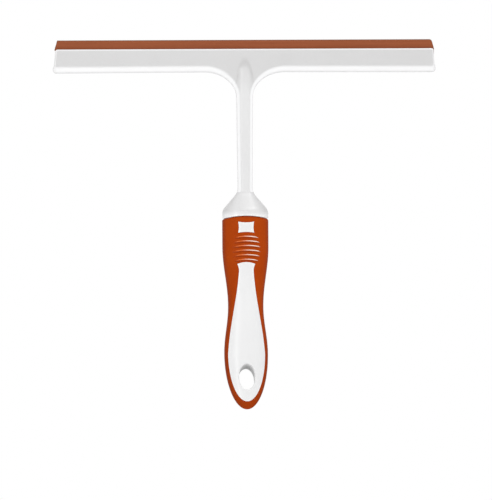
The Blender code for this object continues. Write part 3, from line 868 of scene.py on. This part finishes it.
inputs = {
    "Target Geometry": ribs.node("GeometryNodeObjectInfo", {0: given["Grip"]}, "Geometry"),
    "Source Position": ribs.vector(rib_x, -0.05, rib_z),
    "Ray Direction": (0, 1, 0),
}
_, hit_y, _ = ribs.parts(ribs.node("GeometryNodeRaycast", inputs, "Hit Position"))
sunk = given["Thickness"] * (0.4 + square * square * 0.8)
inputs = {"Geometry": lines, "Position": ribs.vector(rib_x, hit_y + sunk, rib_z)}
lines = ribs.node("GeometryNodeSetPosition", inputs)
inputs = {"Resolution": 16, "Radius": given["Thickness"]}
profile = ribs.node("GeometryNodeCurvePrimitiveCircle", inputs)
inputs = {"Curve": lines, "Profile Curve": profile, "Fill Caps": True}
tubes = ribs.node("GeometryNodeCurveToMesh", inputs)
tubes = ribs.node("GeometryNodeSetShadeSmooth", {0: tubes})
tubes = ribs.node("GeometryNodeRealizeInstances", {0: tubes})
inputs = {"Geometry": tubes, "Material": given["Finish"]}
ribs.node("NodeGroupOutput", {0: ribs.node("GeometryNodeSetMaterial", inputs)})

rib_carrier = add("grip_ribs", bpy.data.meshes.new("grip_ribs"))
rib_modifier = rib_carrier.modifiers.new("ribs", "NODES")
rib_modifier.node_group = rib_tree
identifiers = {item.name: item.identifier for item in rib_tree.interface.items_tree}
rib_modifier[identifiers["Grip"]] = grip_skin
rib_modifier[identifiers["Finish"]] = RIB_RUBBER
graph = bpy.context.evaluated_depsgraph_get()
rib_mesh = bpy.data.meshes.new_from_object(rib_carrier.evaluated_get(graph))
rib_carrier.modifiers.clear()
rib_carrier.data = rib_mesh
# Painted highlight on the rib tops that face the key light, paler towards the right, and painted shade under
# each rib.
crest_highlight, painted_light_level, under_shade = [], [], []
for vert in rib_mesh.vertices:
    facing = vert.normal.dot(Vector((0.1, -0.8, 0.6)))
    crest_highlight.append(ease((facing - 0.84) / 0.1) * (0.55 + 0.45 * ease((vert.co.x / MM + 9) / 6)))
    painted_light_level.append(ease((vert.co.x / MM + 4) / 9))
    under_shade.append(ease((-vert.normal.z - 0.05) / 0.5) * 0.9)
for name, values in (("crest_highlight", crest_highlight), ("painted_light_level", painted_light_level), ("edge", under_shade)):
    rib_mesh.attributes.new(name, "FLOAT", "POINT").data.foreach_set("value", values)
settle(rib_carrier, "frame", "grip_rubber", "grip", crease=60)

# %% [markdown]
# ## The core
# Two white half shells meet inside the grip. The front one reaches the surface twice, as the inlay
# and as the window, both domed like the handle and rounded at their edges. The hanging hole is
# drilled through both halves, and the back one lines it as far as the grip's back.

# %% The core's two halves
PAD_SINK = 0.06  # how far the raised faces lie under the grip's surface
PAD_GAP = 0.06  # between a raised face and the grip's rim
PAD_ROLL = 0.2
HOLE_ROLL = 0.6
HALF_GAP = 0.04
CORE_RUNS = steps(map_run(CORE_INSET + 0.4, CORE_INSET), map_run(ARCH_FULL - 0.3), 60)


def core_place(side, inset):
    """Lifts the map onto the core, kept to its own side of the handle's middle."""

    def place(around, run):
        x, y, height = on_handle(around, run, inset)
        flat = handle_centre(height) + side * HALF_GAP
        return spot(x, side * max(side * y, side * flat), height)

    return place


def middle_reach(turn, side):
    """Where the drill crosses the flat face between the halves."""
    near, far = -3.0, 3.0
    for _ in range(40):
        middle = (near + far) / 2
        _, y, height = drill_spot(turn, 0, middle)
        past = y > handle_centre(height) + side * HALF_GAP
        near, far = (near, middle) if past else (middle, far)
    return near


def hole_shade(side, share, around):
    """Painted shade: darker deeper in the hole, and under its upper wall."""
    level = 0.05 + 0.6 * share if side < 0 else 0.85 - 0.2 * share
    return level * (0.75 + 0.25 * math.sin(around))


def hole_wall(edit, last, side, pad_inset):
    """The hole's rounded mouth and its wall down to the flat face between the halves."""
    deep = edit.verts.layers.float["deep"]
    for down, grow in quarter(HOLE_ROLL):
        places = []
        for around in HOLE_TURNS:
            along = drill_reach(around, grow, pad_inset, side) - side * down
            places.append(spot(*drill_spot(around, grow, along)))
        last = next_row(edit, last, places)
    for share in (0.25, 0.5, 0.75, 1):
        places = []
        for around in HOLE_TURNS:
            start = drill_reach(around, 0, pad_inset, side) - side * HOLE_ROLL
            end = middle_reach(around, side)
            places.append(spot(*drill_spot(around, 0, start + (end - start) * share)))
        last = next_row(edit, last, places)
        # Painted shade inside the hole.
        for vert, around in zip(last, HOLE_TURNS):
            vert[deep] = hole_shade(side, share, around)


def raised_pad(edit, last, opening, drilled, side, pitch):
    """A face that stands up from the core to the grip's surface."""
    # Painted highlight: the pad's rolled rim and its face's border are painted paler, against the shade in
    # the groove round it.
    edge = edit.verts.layers.float["edge"]
    for fall, away in quarter(PAD_ROLL, (0, 0.25, 0.5, 0.75)):
        inset = PAD_SINK + away
        flat = opening(-PAD_GAP - fall, inset)
        last = next_row(edit, last, [spot(*on_handle(a, v, inset)) for a, v in flat])
        for vert in last:
            vert[edge] = 0.8
    loops = [opening(-PAD_GAP - PAD_ROLL, PAD_SINK)]
    if drilled:
        loops.append(drill_on_map(HOLE_ROLL, PAD_SINK, side))
    made = fill(edit, loops, skin(PAD_SINK), pitch)
    for vert in made[0]:
        vert[edge] = 0.5
    strip(edit, last, made[0])
    if drilled:
        hole_wall(edit, made[1], side, PAD_SINK)


def sleeve_opening(offset, inset):
    return drill_on_map(SLEEVE_WALL + offset, inset, 1)


CORE_PADS = {
    -1: [(front_opening(inlay_outline), True), (front_opening(window_outline), False)],
    1: [(sleeve_opening, True)],
}
POCKET = (8.0, 5.6, 80.0)
POCKET_LOW = 99.05


def make_core(name, side):
    edit = bmesh.new()
    deep = edit.verts.layers.float.new("deep")
    edit.verts.layers.float.new("edge")
    pads = CORE_PADS[side]
    across, place = AROUND[side][::2], core_place(side, CORE_INSET)
    loops = [border(across, CORE_RUNS)]
    loops += [opening(-PAD_GAP, CORE_INSET) for opening, _ in pads]
    made = fill(edit, loops, place, PITCH * 2.2)
    for (opening, drilled), base in zip(pads, made[1:]):
        raised_pad(edit, base, opening, drilled, side, PITCH * (0.7 if side > 0 else 1))
    # The flat face between the halves, drawn as x and height.
    ends = []
    for around in (across[0], across[-1]):
        ends.append([on_handle(around, v, CORE_INSET) for v in CORE_RUNS])
    hole = [drill_spot(turn, 0, middle_reach(turn, side)) for turn in HOLE_TURNS]
    loops = [[(p[0], p[2]) for p in loop] for loop in (ends[0] + ends[1][::-1], hole)]
    flat = fill(edit, loops, lambda x, h: spot(x, handle_centre(h) + side * HALF_GAP, h), PITCH * 3)
    # Painted shade where the hole crosses the flat face between the halves.
    for vert, around in zip(flat[1], HOLE_TURNS):
        vert[deep] = hole_shade(side, 1, around)
    for run in (CORE_RUNS[0], CORE_RUNS[-1]):
        edit.faces.new(row(edit, [place(a, run) for a in across]))
    close_up(edit)
    core = as_object(name, edit, LIT_CORE_PLASTIC)
    pocket = box_cutter(POCKET, spot(0, 0, POCKET_LOW + POCKET[2] / 2))
    carve(core, "DIFFERENCE", [pocket])
    return core


settle(make_core("core_front_shell", -1), "frame", "white_plastic", "core_front")
settle(make_core("core_back_shell", 1), "frame", "white_plastic", "core_back")

# %% [markdown]
# ## The collar
# A bell that carries the width of the grip up to the slim stem: a short rim, a round shoulder and a
# straight cone, which ends in the stem's own bevelled section. Rings are lofted from bottom to top,
# and two more rings down its inside leave the way for the stem's tang.

# %% The collar
STEM_FOOT_HALF = 4.9
STEM_HEAD_HALF = 5.5
STEM_DEEP = 5
STEM_BEVEL = 2.6
FLARE_SOFTNESS = 2.2  # how gently the cone's side turns into the stem's
COLLAR_RIM = 3
COLLAR_ROUND = 7
COLLAR_SLOPE = math.radians(41)  # the cone's side, from upright
CONE_START = COLLAR_RIM + COLLAR_ROUND * math.sin(COLLAR_SLOPE)
CONE_HALF = TOP_SIZE[0] / 2 - COLLAR_ROUND * (1 - math.cos(COLLAR_SLOPE))
CONE_RISE = (CONE_HALF - STEM_FOOT_HALF) / math.tan(COLLAR_SLOPE)
STEM_FOOT = GRIP_LENGTH + CONE_START + CONE_RISE
COLLAR_GAP = 0.12
COLLAR_POINTS = 112


def soft_min(first, second, soft):
    near = max(0, soft - abs(first - second)) / soft
    return min(first, second) - near * near * soft / 4


def flare(height):
    """How much wider the stem and cone are near their joint, at a height above the tip."""
    cone = STEM_FOOT_HALF - (height - STEM_FOOT) * math.tan(COLLAR_SLOPE)
    straight = max(cone, STEM_FOOT_HALF)
    return -soft_min(-cone, -STEM_FOOT_HALF, FLARE_SOFTNESS) - straight


def stem_reach(turn, half, deep, bevel):
    """Distance from the middle to the side of a bevelled rectangle."""
    c, s = abs(math.cos(turn)), abs(math.sin(turn))
    return min(half / max(c, 1e-6), deep / max(s, 1e-6), (half + deep - bevel) / (c + s))


def collar_ring(height):
    """(x, y) points of the collar at a height above the grip's side edge."""
    full, foot = TOP_SIZE[0] / 2, STEM_FOOT_HALF
    over = height - COLLAR_RIM
    if over <= 0:
        across = full
    elif height < CONE_START:
        across = full - COLLAR_ROUND * (1 - math.sqrt(1 - (over / COLLAR_ROUND) ** 2))
    else:
        across = CONE_HALF - (height - CONE_START) * math.tan(COLLAR_SLOPE)
        across += flare(GRIP_LENGTH + height)
    narrowed = (full - across) / (full - foot)
    deep = TOP_SIZE[1] / 2 + (STEM_DEEP - TOP_SIZE[1] / 2) * narrowed
    power = SECTION_POWER + narrowed
    morph = ease((narrowed - 0.55) / 0.45)
    points = []
    for i in range(COLLAR_POINTS):
        turn = 2 * math.pi * i / COLLAR_POINTS
        reach = oval_reach(turn, across, deep, power)
        edge = stem_reach(turn, across, deep, STEM_BEVEL * morph)
        reach += (min(edge, reach * 1.02) - reach) * morph
        points.append((reach * math.cos(turn), reach * math.sin(turn)))
    return points


collar_edit = bmesh.new()
collar_shade = collar_edit.verts.layers.float.new("painted_shade")
collar_highlight = collar_edit.verts.layers.float.new("edge")
collar_top = STEM_FOOT - GRIP_LENGTH - 0.03
collar_heights = [0, 0.25, 0.7, 1.5, 2.3, *steps(COLLAR_RIM, CONE_START, 12)]
collar_heights += steps(CONE_START, collar_top, 14)[1:]
collar_rows = []
for height in collar_heights:
    settled = min(1, height / COLLAR_RIM)
    tuck = 0.45 * (1 - min(1, height / 0.7)) ** 2
    places = []
    for x, y in collar_ring(height):
        arch = GRIP_ARCH * (1 - (2 * x / TOP_SIZE[0]) ** 2) * (1 - settled)
        shrink = 1 - tuck / math.hypot(x, y)
        level = GRIP_LENGTH + height + arch + COLLAR_GAP * (1 - settled)
        places.append(spot(x * shrink, y * shrink, level))
    ring = row(collar_edit, places)
    # Painted shade: greyer up the cone and towards its left and right sides. Painted highlight: paler along
    # the rim.
    for i, vert in enumerate(ring):
        beside = abs(math.cos(2 * math.pi * i / COLLAR_POINTS))
        sides = ease((beside - 0.6) / 0.4) * 0.45
        vert[collar_shade] = (0.27 + sides) * ease((height - 1) / 5)
        vert[collar_highlight] = 0.5 * (1 - ease((height - 0.5) / 5))
    collar_rows.append(ring)
for end in (collar_rows[-1], collar_rows[0]):
    bore = []
    for i, vert in enumerate(end):
        turn = 2 * math.pi * i / COLLAR_POINTS
        reach = stem_reach(turn, POCKET[0] / 2, POCKET[1] / 2, 0) * MM
        bore.append(Vector((reach * math.cos(turn), reach * math.sin(turn), vert.co.z)))
    collar_rows.append(row(collar_edit, bore))
loft(collar_edit, collar_rows + collar_rows[:1])
close_up(collar_edit)
collar = as_object("collar_bell", collar_edit, PLASTIC)
settle(collar, "frame", "white_plastic", "shoulder_collar")

# %% [markdown]
# ## The head moulding
# Bar, webs and stem are one moulding, mirrored about its middle but for the channel's closed end.
# Its outline is drawn once, at any share of the way in from the silhouette. The rows between the
# silhouette and the flat face carry the wide soft bevel of the lower edge, and the face inside them
# is filled. A second sheet makes the back. The stem's ridge runs on up into the leaning face and
# sinks into it like the tip of a bullet, which is a soft minimum of two heights.

# %% The head's outline
BAR_TALL = 15.3
BAR_BOTTOM = BAR_TOP - BAR_TALL
BAR_DROP = 0.4
FILLET = (21.45, 16.6)
FILLET_BASE = BAR_BOTTOM - FILLET[1]
FACE_FRONT = -2
WEB_BACK = 3.5
BAR_BACK = 6
LEAN = math.radians(16)
LEAN_START = BAR_TOP - 18.9
LEAN_SOFTNESS = 18
BAND = 5.0  # width of the lower edge's bevel
BAND_RECESS = 2.6  # how far the bevel falls back at the silhouette
RIM = 1.2  # width of the rounding on the top and the ends
END_STEP = 0.8  # how far the bar's ends step in above the bevel
END_SLANT = (0.9, 4)  # and slant further in, from a height on the bar
CORNER_LOW = (2.4, 0.6)  # lower corner's radius, outside and inside
CORNER_HIGH = (1.4, 0.5)
RIDGE_EDGE = 0.4  # radius of the ridge's long edges
RIDGE_CRISP = 0.35  # how soft the turn into its bevels is
FLARE_DEEP = 0.6  # share of the flare that also goes into the depth


def lean_shift(height):
    """How far forward the head's sheet lies."""
    rise = height - LEAN_START
    if rise < -LEAN_SOFTNESS / 2:
        run = 0
    elif rise < LEAN_SOFTNESS / 2:
        run = (rise + LEAN_SOFTNESS / 2) ** 2 / (2 * LEAN_SOFTNESS)
    else:
        run = rise
    return -run * math.tan(LEAN)


def stem_half(height):
    share = min(1, (height - STEM_FOOT) / (FILLET_BASE - STEM_FOOT))
    return STEM_FOOT_HALF + (STEM_HEAD_HALF - STEM_FOOT_HALF) * share + flare(height)


def bar_end(height):
    """X of the bar's right end: a short flare at the bottom, then a slight slant."""
    rise = height - BAR_BOTTOM
    slant = END_SLANT[0] * max(0, rise - END_SLANT[1]) / (BAR_TALL - END_SLANT[1])
    return HEAD_LENGTH / 2 - END_STEP * ease((rise - 2) / 3.5) - slant


def half_outline(share):
    """(x, height, low) from the stem's foot up, out and over to the middle of the top edge."""
    band, rim = share * BAND, share * RIM
    points = []
    above = STEM_FOOT + 4
    for height in steps(STEM_FOOT, above, 8)[:-1] + steps(above, FILLET_BASE, 38)[:-1]:
        points.append((stem_half(height) - share * STEM_BEVEL, height, 1))
    outer = STEM_HEAD_HALF + FILLET[0]
    for turn in steps(0, math.pi / 2, 34):
        wide = share * (STEM_BEVEL + (BAND - STEM_BEVEL) * ease(turn / math.pi * 2))
        x = outer - (FILLET[0] + wide) * math.cos(turn)
        points.append((x, FILLET_BASE + (FILLET[1] + wide) * math.sin(turn), 1))
    radius = CORNER_LOW[0] * (1 - share) + CORNER_LOW[1] * share
    bottom = BAR_BOTTOM - BAR_DROP + band
    end = bar_end(bottom + radius) - rim
    for x in steps(outer, end - radius, 44)[1:-1]:
        fallen = BAR_DROP * (x - outer) / (end - radius - outer)
        points.append((x, BAR_BOTTOM - fallen + band, 1))
    for turn in steps(0, 1, 8):
        angle = turn * math.pi / 2
        x = end - radius + radius * math.sin(angle)
        points.append((x, bottom + radius * (1 - math.cos(angle)), 1 - turn))
    radius_high = CORNER_HIGH[0] * (1 - share) + CORNER_HIGH[1] * share
    top = BAR_TOP - rim
    for height in steps(bottom + radius, top - radius_high, 12)[1:-1]:
        points.append((bar_end(height) - rim, height, 0))
    end = bar_end(top - radius_high) - rim
    for turn in steps(0, 1, 6):
        angle = turn * math.pi / 2
        x = end - radius_high + radius_high * math.cos(angle)
        points.append((x, top - radius_high + radius_high * math.sin(angle), 0))
    for x in steps(end - radius_high, 0, 50)[1:]:
        points.append((x, top, 0))
    return points


def head_outline(share):
    right = half_outline(share)
    return right + [(-x, height, low) for x, height, low in reversed(right[:-1])]


# %% The head's two faces
def soft_ramp(value, soft):
    """0 below nothing, then the value itself, with a soft start."""
    if value <= -soft:
        return 0
    return value if value >= soft else (value + soft) ** 2 / (4 * soft)


def quarter_round(depth, radius):
    """How far a rounded edge falls back at a depth in from the silhouette."""
    away = max(0, radius - depth)
    return radius - math.sqrt(max(0, radius**2 - away**2))


def edge_recess(share, low):
    bevel = BAND_RECESS / BAND * soft_ramp((1 - share) * BAND - 0.55, 0.55)
    band = bevel + quarter_round(share * BAND, 0.5)
    return low * band + (1 - low) * quarter_round(share * RIM, 1.0)


def ridge_front(x, height):
    """The stem's front: a flat with two bevels, which turns rounder inside the head."""
    half = stem_half(height)
    beside = abs(x)
    crisp = soft_ramp(beside - (half - STEM_BEVEL), RIDGE_CRISP)
    bullet = STEM_BEVEL * (beside / half) ** 2.3
    share = ease((height - FILLET_BASE) / 18)
    front = -STEM_DEEP - FLARE_DEEP * flare(height)
    front += 0.4 * ease((height - FILLET_BASE) / 22)
    return front + crisp + (bullet - crisp) * share


def front_face(x, height, share=1, low=0):
    face = FACE_FRONT + lean_shift(height) + edge_recess(share, low)
    ridge = ridge_front(x, height)
    if height < FILLET_BASE:
        face += 1.5 * (1 - ease((height - FILLET_BASE + 12) / 12))
        ridge += quarter_round(share * STEM_BEVEL, RIDGE_EDGE)
    return soft_min(face, ridge, 1.1)


def back_face(x, height, share=1, low=0):
    sheet = WEB_BACK + (BAR_BACK - WEB_BACK) * ease((height - BAR_BOTTOM - 0.4) / 2)
    rounding = quarter_round(share * (BAND * low + RIM * (1 - low)), 1.2)
    sheet += lean_shift(height) - rounding
    if height < FILLET_BASE:
        sheet -= 2.5 * (1 - ease((height - FILLET_BASE + 8) / 8))
    half = stem_half(height)
    sunk = 3.8 * max(0, (height - FILLET_BASE) / 25.5)
    crisp = soft_ramp(abs(x) - (half - STEM_BEVEL), RIDGE_CRISP)
    stem = STEM_DEEP + FLARE_DEEP * flare(height) - sunk - crisp
    if height < FILLET_BASE:
        stem -= quarter_round(share * STEM_BEVEL, RIDGE_EDGE)
    return -soft_min(-sheet, -stem, 0.6)


# %% Building the head
SHARES = (0, 0.02, 0.06, 0.12, 0.2, 0.32, 0.46, 0.6, 0.72, 0.82, 0.91, 1)

head_edit = bmesh.new()
head_highlight = head_edit.verts.layers.float.new("edge")
head_shade = head_edit.verts.layers.float.new("painted_shade")
silhouettes = []


def paint_head(vert, share, low, surface):
    """Painted highlight on the bevels and edges, and painted shade, most on the leaning face and in the
    ridge's valleys.
    """
    x, height = vert.co.x / MM, vert.co.z / MM + HOLD
    outer = 0.35 + 0.65 * ease(share / 0.3)
    vert[head_highlight] = (1 - ease((share - 0.6) / 0.4)) * (low * outer + (1 - low) * 0.5)
    sheet = FACE_FRONT + lean_shift(height)
    on_ridge = ease((sheet - ridge_front(x, height)) / 1.6) if surface is front_face else 0
    valley = math.exp(-(((ridge_front(x, height) - sheet - 0.3) / 0.65) ** 2))
    valley *= ease((height - FILLET_BASE - 6) / 8) if surface is front_face else 0
    upper = ease((height - FILLET_BASE - 2) / 12)
    vert[head_shade] = min(1, 0.12 + upper * (0.5 - 0.25 * on_ridge) + valley * 0.45)


for surface in (front_face, back_face):
    made_rows = []
    for share in SHARES[:-1]:
        places = [spot(x, surface(x, h, share, low), h) for x, h, low in head_outline(share)]
        ring = row(head_edit, places)
        for vert, (_, _, low) in zip(ring, head_outline(share)):
            paint_head(vert, share, low, surface)
        made_rows.append(ring)
    known = set(head_edit.verts)
    inner = [(x, height) for x, height, _ in head_outline(1)]
    pitch = 0.9 if surface is front_face else 0.8
    loops = fill(head_edit, [inner], lambda x, h: spot(x, surface(x, h), h), pitch)
    for vert in head_edit.verts:
        if vert not in known:
            paint_head(vert, 1, 1, surface)
    made_rows.append(loops[0])
    loft(head_edit, made_rows, closed=False)
    silhouettes.append(made_rows[0])
loft(head_edit, silhouettes, closed=False)
bmesh.ops.remove_doubles(head_edit, verts=head_edit.verts, dist=2e-6)
foot = [edge for edge in head_edit.edges if len(edge.link_faces) == 1]
print(f"head: {len(foot)} edges round the stem's foot")
bmesh.ops.edgeloop_fill(head_edit, edges=foot)
close_up(head_edit)
head = as_object("head_moulding", head_edit, PLASTIC)

# %% [markdown]
# The tang and the blade's channel are plain shapes, so Booleans suit them. The channel is a round
# bore for the blade's bead and a narrow slot up to the bar's top, open at the right end and stopped
# at the left.

# %% Tang and channel
TANG = (7.4, 5.0, 47.9)
TANG_TOP = 147.25
BEAD_RADIUS = 1.8
BEAD_SEAT = 5.6
BLADE_HALF = 1.0
BLADE_GAP = 0.3
MOUTH = Vector((0, lean_shift(BAR_TOP) + FACE_FRONT + 4, BAR_TOP - HOLD)) * MM
LEANING = Matrix.Translation(MOUTH) @ Matrix.Rotation(LEAN, 4, "X")
LIP_HALF = HEAD_LENGTH / 2 - 1.2
CHANNEL_LEFT = 2.5 - LIP_HALF
MOUTH_LOW = -0.9  # the slot runs the head's whole length above this
FAR = 20


def leaning(x, across, up):
    """A place from the channel's mouth: along the blade, towards its back, and up the blade."""
    return LEANING @ (Vector((x, across, up)) * MM)


def keyhole(radius, half, top, count):
    """The bead and its neck as (across, up) points."""
    start = math.asin(half / radius)
    points = [(half, top)]
    for turn in steps(start, 2 * math.pi - start, count):
        points.append((radius * math.sin(turn), radius * math.cos(turn) - BEAD_SEAT))
    return points + [(-half, top)]


def run_along(section, left, right):
    edit = bmesh.new()
    rows_made = [row(edit, [leaning(x, *point) for point in section]) for x in (left, right)]
    strip(edit, *rows_made)
    for ring in rows_made:
        edit.faces.new(ring)
    close_up(edit)
    return edit


tang = box_cutter(TANG, spot(0, 0, TANG_TOP - TANG[2] / 2))
carve(head, "UNION", [tang])
slot_half = BLADE_HALF + BLADE_GAP
channel = run_along(
    keyhole(BEAD_RADIUS + BLADE_GAP, slot_half, FAR, 40), CHANNEL_LEFT, HEAD_LENGTH / 2 + FAR
)
mouth = run_along(
    [(slot_half, FAR), (-slot_half, FAR), (-slot_half, MOUTH_LOW), (slot_half, MOUTH_LOW)],
    -HEAD_LENGTH / 2 - FAR,
    HEAD_LENGTH / 2 + FAR,
)
carve(head, "DIFFERENCE", [channel, mouth])
settle(head, "frame", "white_plastic", "head_frame", crease=40)

# %% [markdown]
# ## The blade
# One strip of rubber: a round bead that sits in the channel, a neck, and the lip that stands out of
# it.

# %% The blade
LIP_TOP = 6.0
LIP_SLANT = 1.7
EDGE_CUT = 0.14
BEND = (-0.2, 2.4)  # the strip bends between these heights over the mouth
BEAD_LEFT = CHANNEL_LEFT + BLADE_GAP
CORNER_CUT = 1.5
BLADE_STATIONS = [-1, -0.997, *steps(-0.99, 0.99, 88), 0.997, 1]


def blade_side():
    """(across, up) points of the blade's front side, from the bead's bottom to the wiping edge."""
    start = math.asin(BLADE_HALF / BEAD_RADIUS)
    points = []
    for turn in steps(math.pi, start, 14):
        points.append((-BEAD_RADIUS * math.sin(turn), BEAD_RADIUS * math.cos(turn) - BEAD_SEAT))
    ups = [-3, -2, -1.4, MOUTH_LOW, -0.6, -0.3, *steps(0, 1, 4), 1.3, 1.6, 2, 2.4, 2.9, 3.4, 4]
    for up in (*ups, 4.6, 5.0, 5.3, 5.6, LIP_TOP - EDGE_CUT):
        points.append((-BLADE_HALF, up))
    points.append((-BLADE_HALF + 0.04, LIP_TOP - 0.04))
    points.append((-BLADE_HALF + EDGE_CUT, LIP_TOP))
    return points


def blade_ends(up):
    """X of the blade's left and right end at a height on it."""
    slant = LIP_SLANT * max(0, up) / LIP_TOP
    if up <= MOUTH_LOW:
        return BEAD_LEFT, LIP_HALF
    rounded = quarter_round(LIP_TOP - up, CORNER_CUT) if up > LIP_TOP - CORNER_CUT else 0
    return -LIP_HALF + slant, LIP_HALF - slant - rounded


front_side = blade_side()
both_sides = front_side + [(-across, up) for across, up in reversed(front_side)]
blade_section = [both_sides[0]]
for point in both_sides[1:]:
    if point != blade_section[-1]:
        blade_section.append(point)
blade_edit = bmesh.new()
cut_layer = blade_edit.verts.layers.float.new("cut")
blade_rows = []
for station in BLADE_STATIONS:
    ring = []
    for across, up in blade_section:
        left, right = blade_ends(up)
        x = (left + right) / 2 + station * (right - left) / 2
        vert = blade_edit.verts.new(leaning(x, across, up))
        vert[cut_layer] = 1 if up > LIP_TOP - 0.1 or (abs(station) == 1 and up > -1) else 0
        ring.append(vert)
    blade_rows.append(ring)
loft(blade_edit, blade_rows)
for ring in (blade_rows[0], blade_rows[-1]):
    count = len(ring)
    for i in range(count // 2 - 1):
        blade_edit.faces.new((ring[i], ring[i + 1], ring[count - i - 2], ring[count - i - 1]))
close_up(blade_edit)
blade = as_object("blade_strip", blade_edit, BLADE_RUBBER)
settle(blade, None, "blade_rubber", "blade_spine", "blade_lip", crease=40)
bend_low, bend_high = (leaning(0, 0, up) for up in BEND)
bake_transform(blade, "blade_root", "blade_edge", start=tuple(bend_low), end=tuple(bend_high))
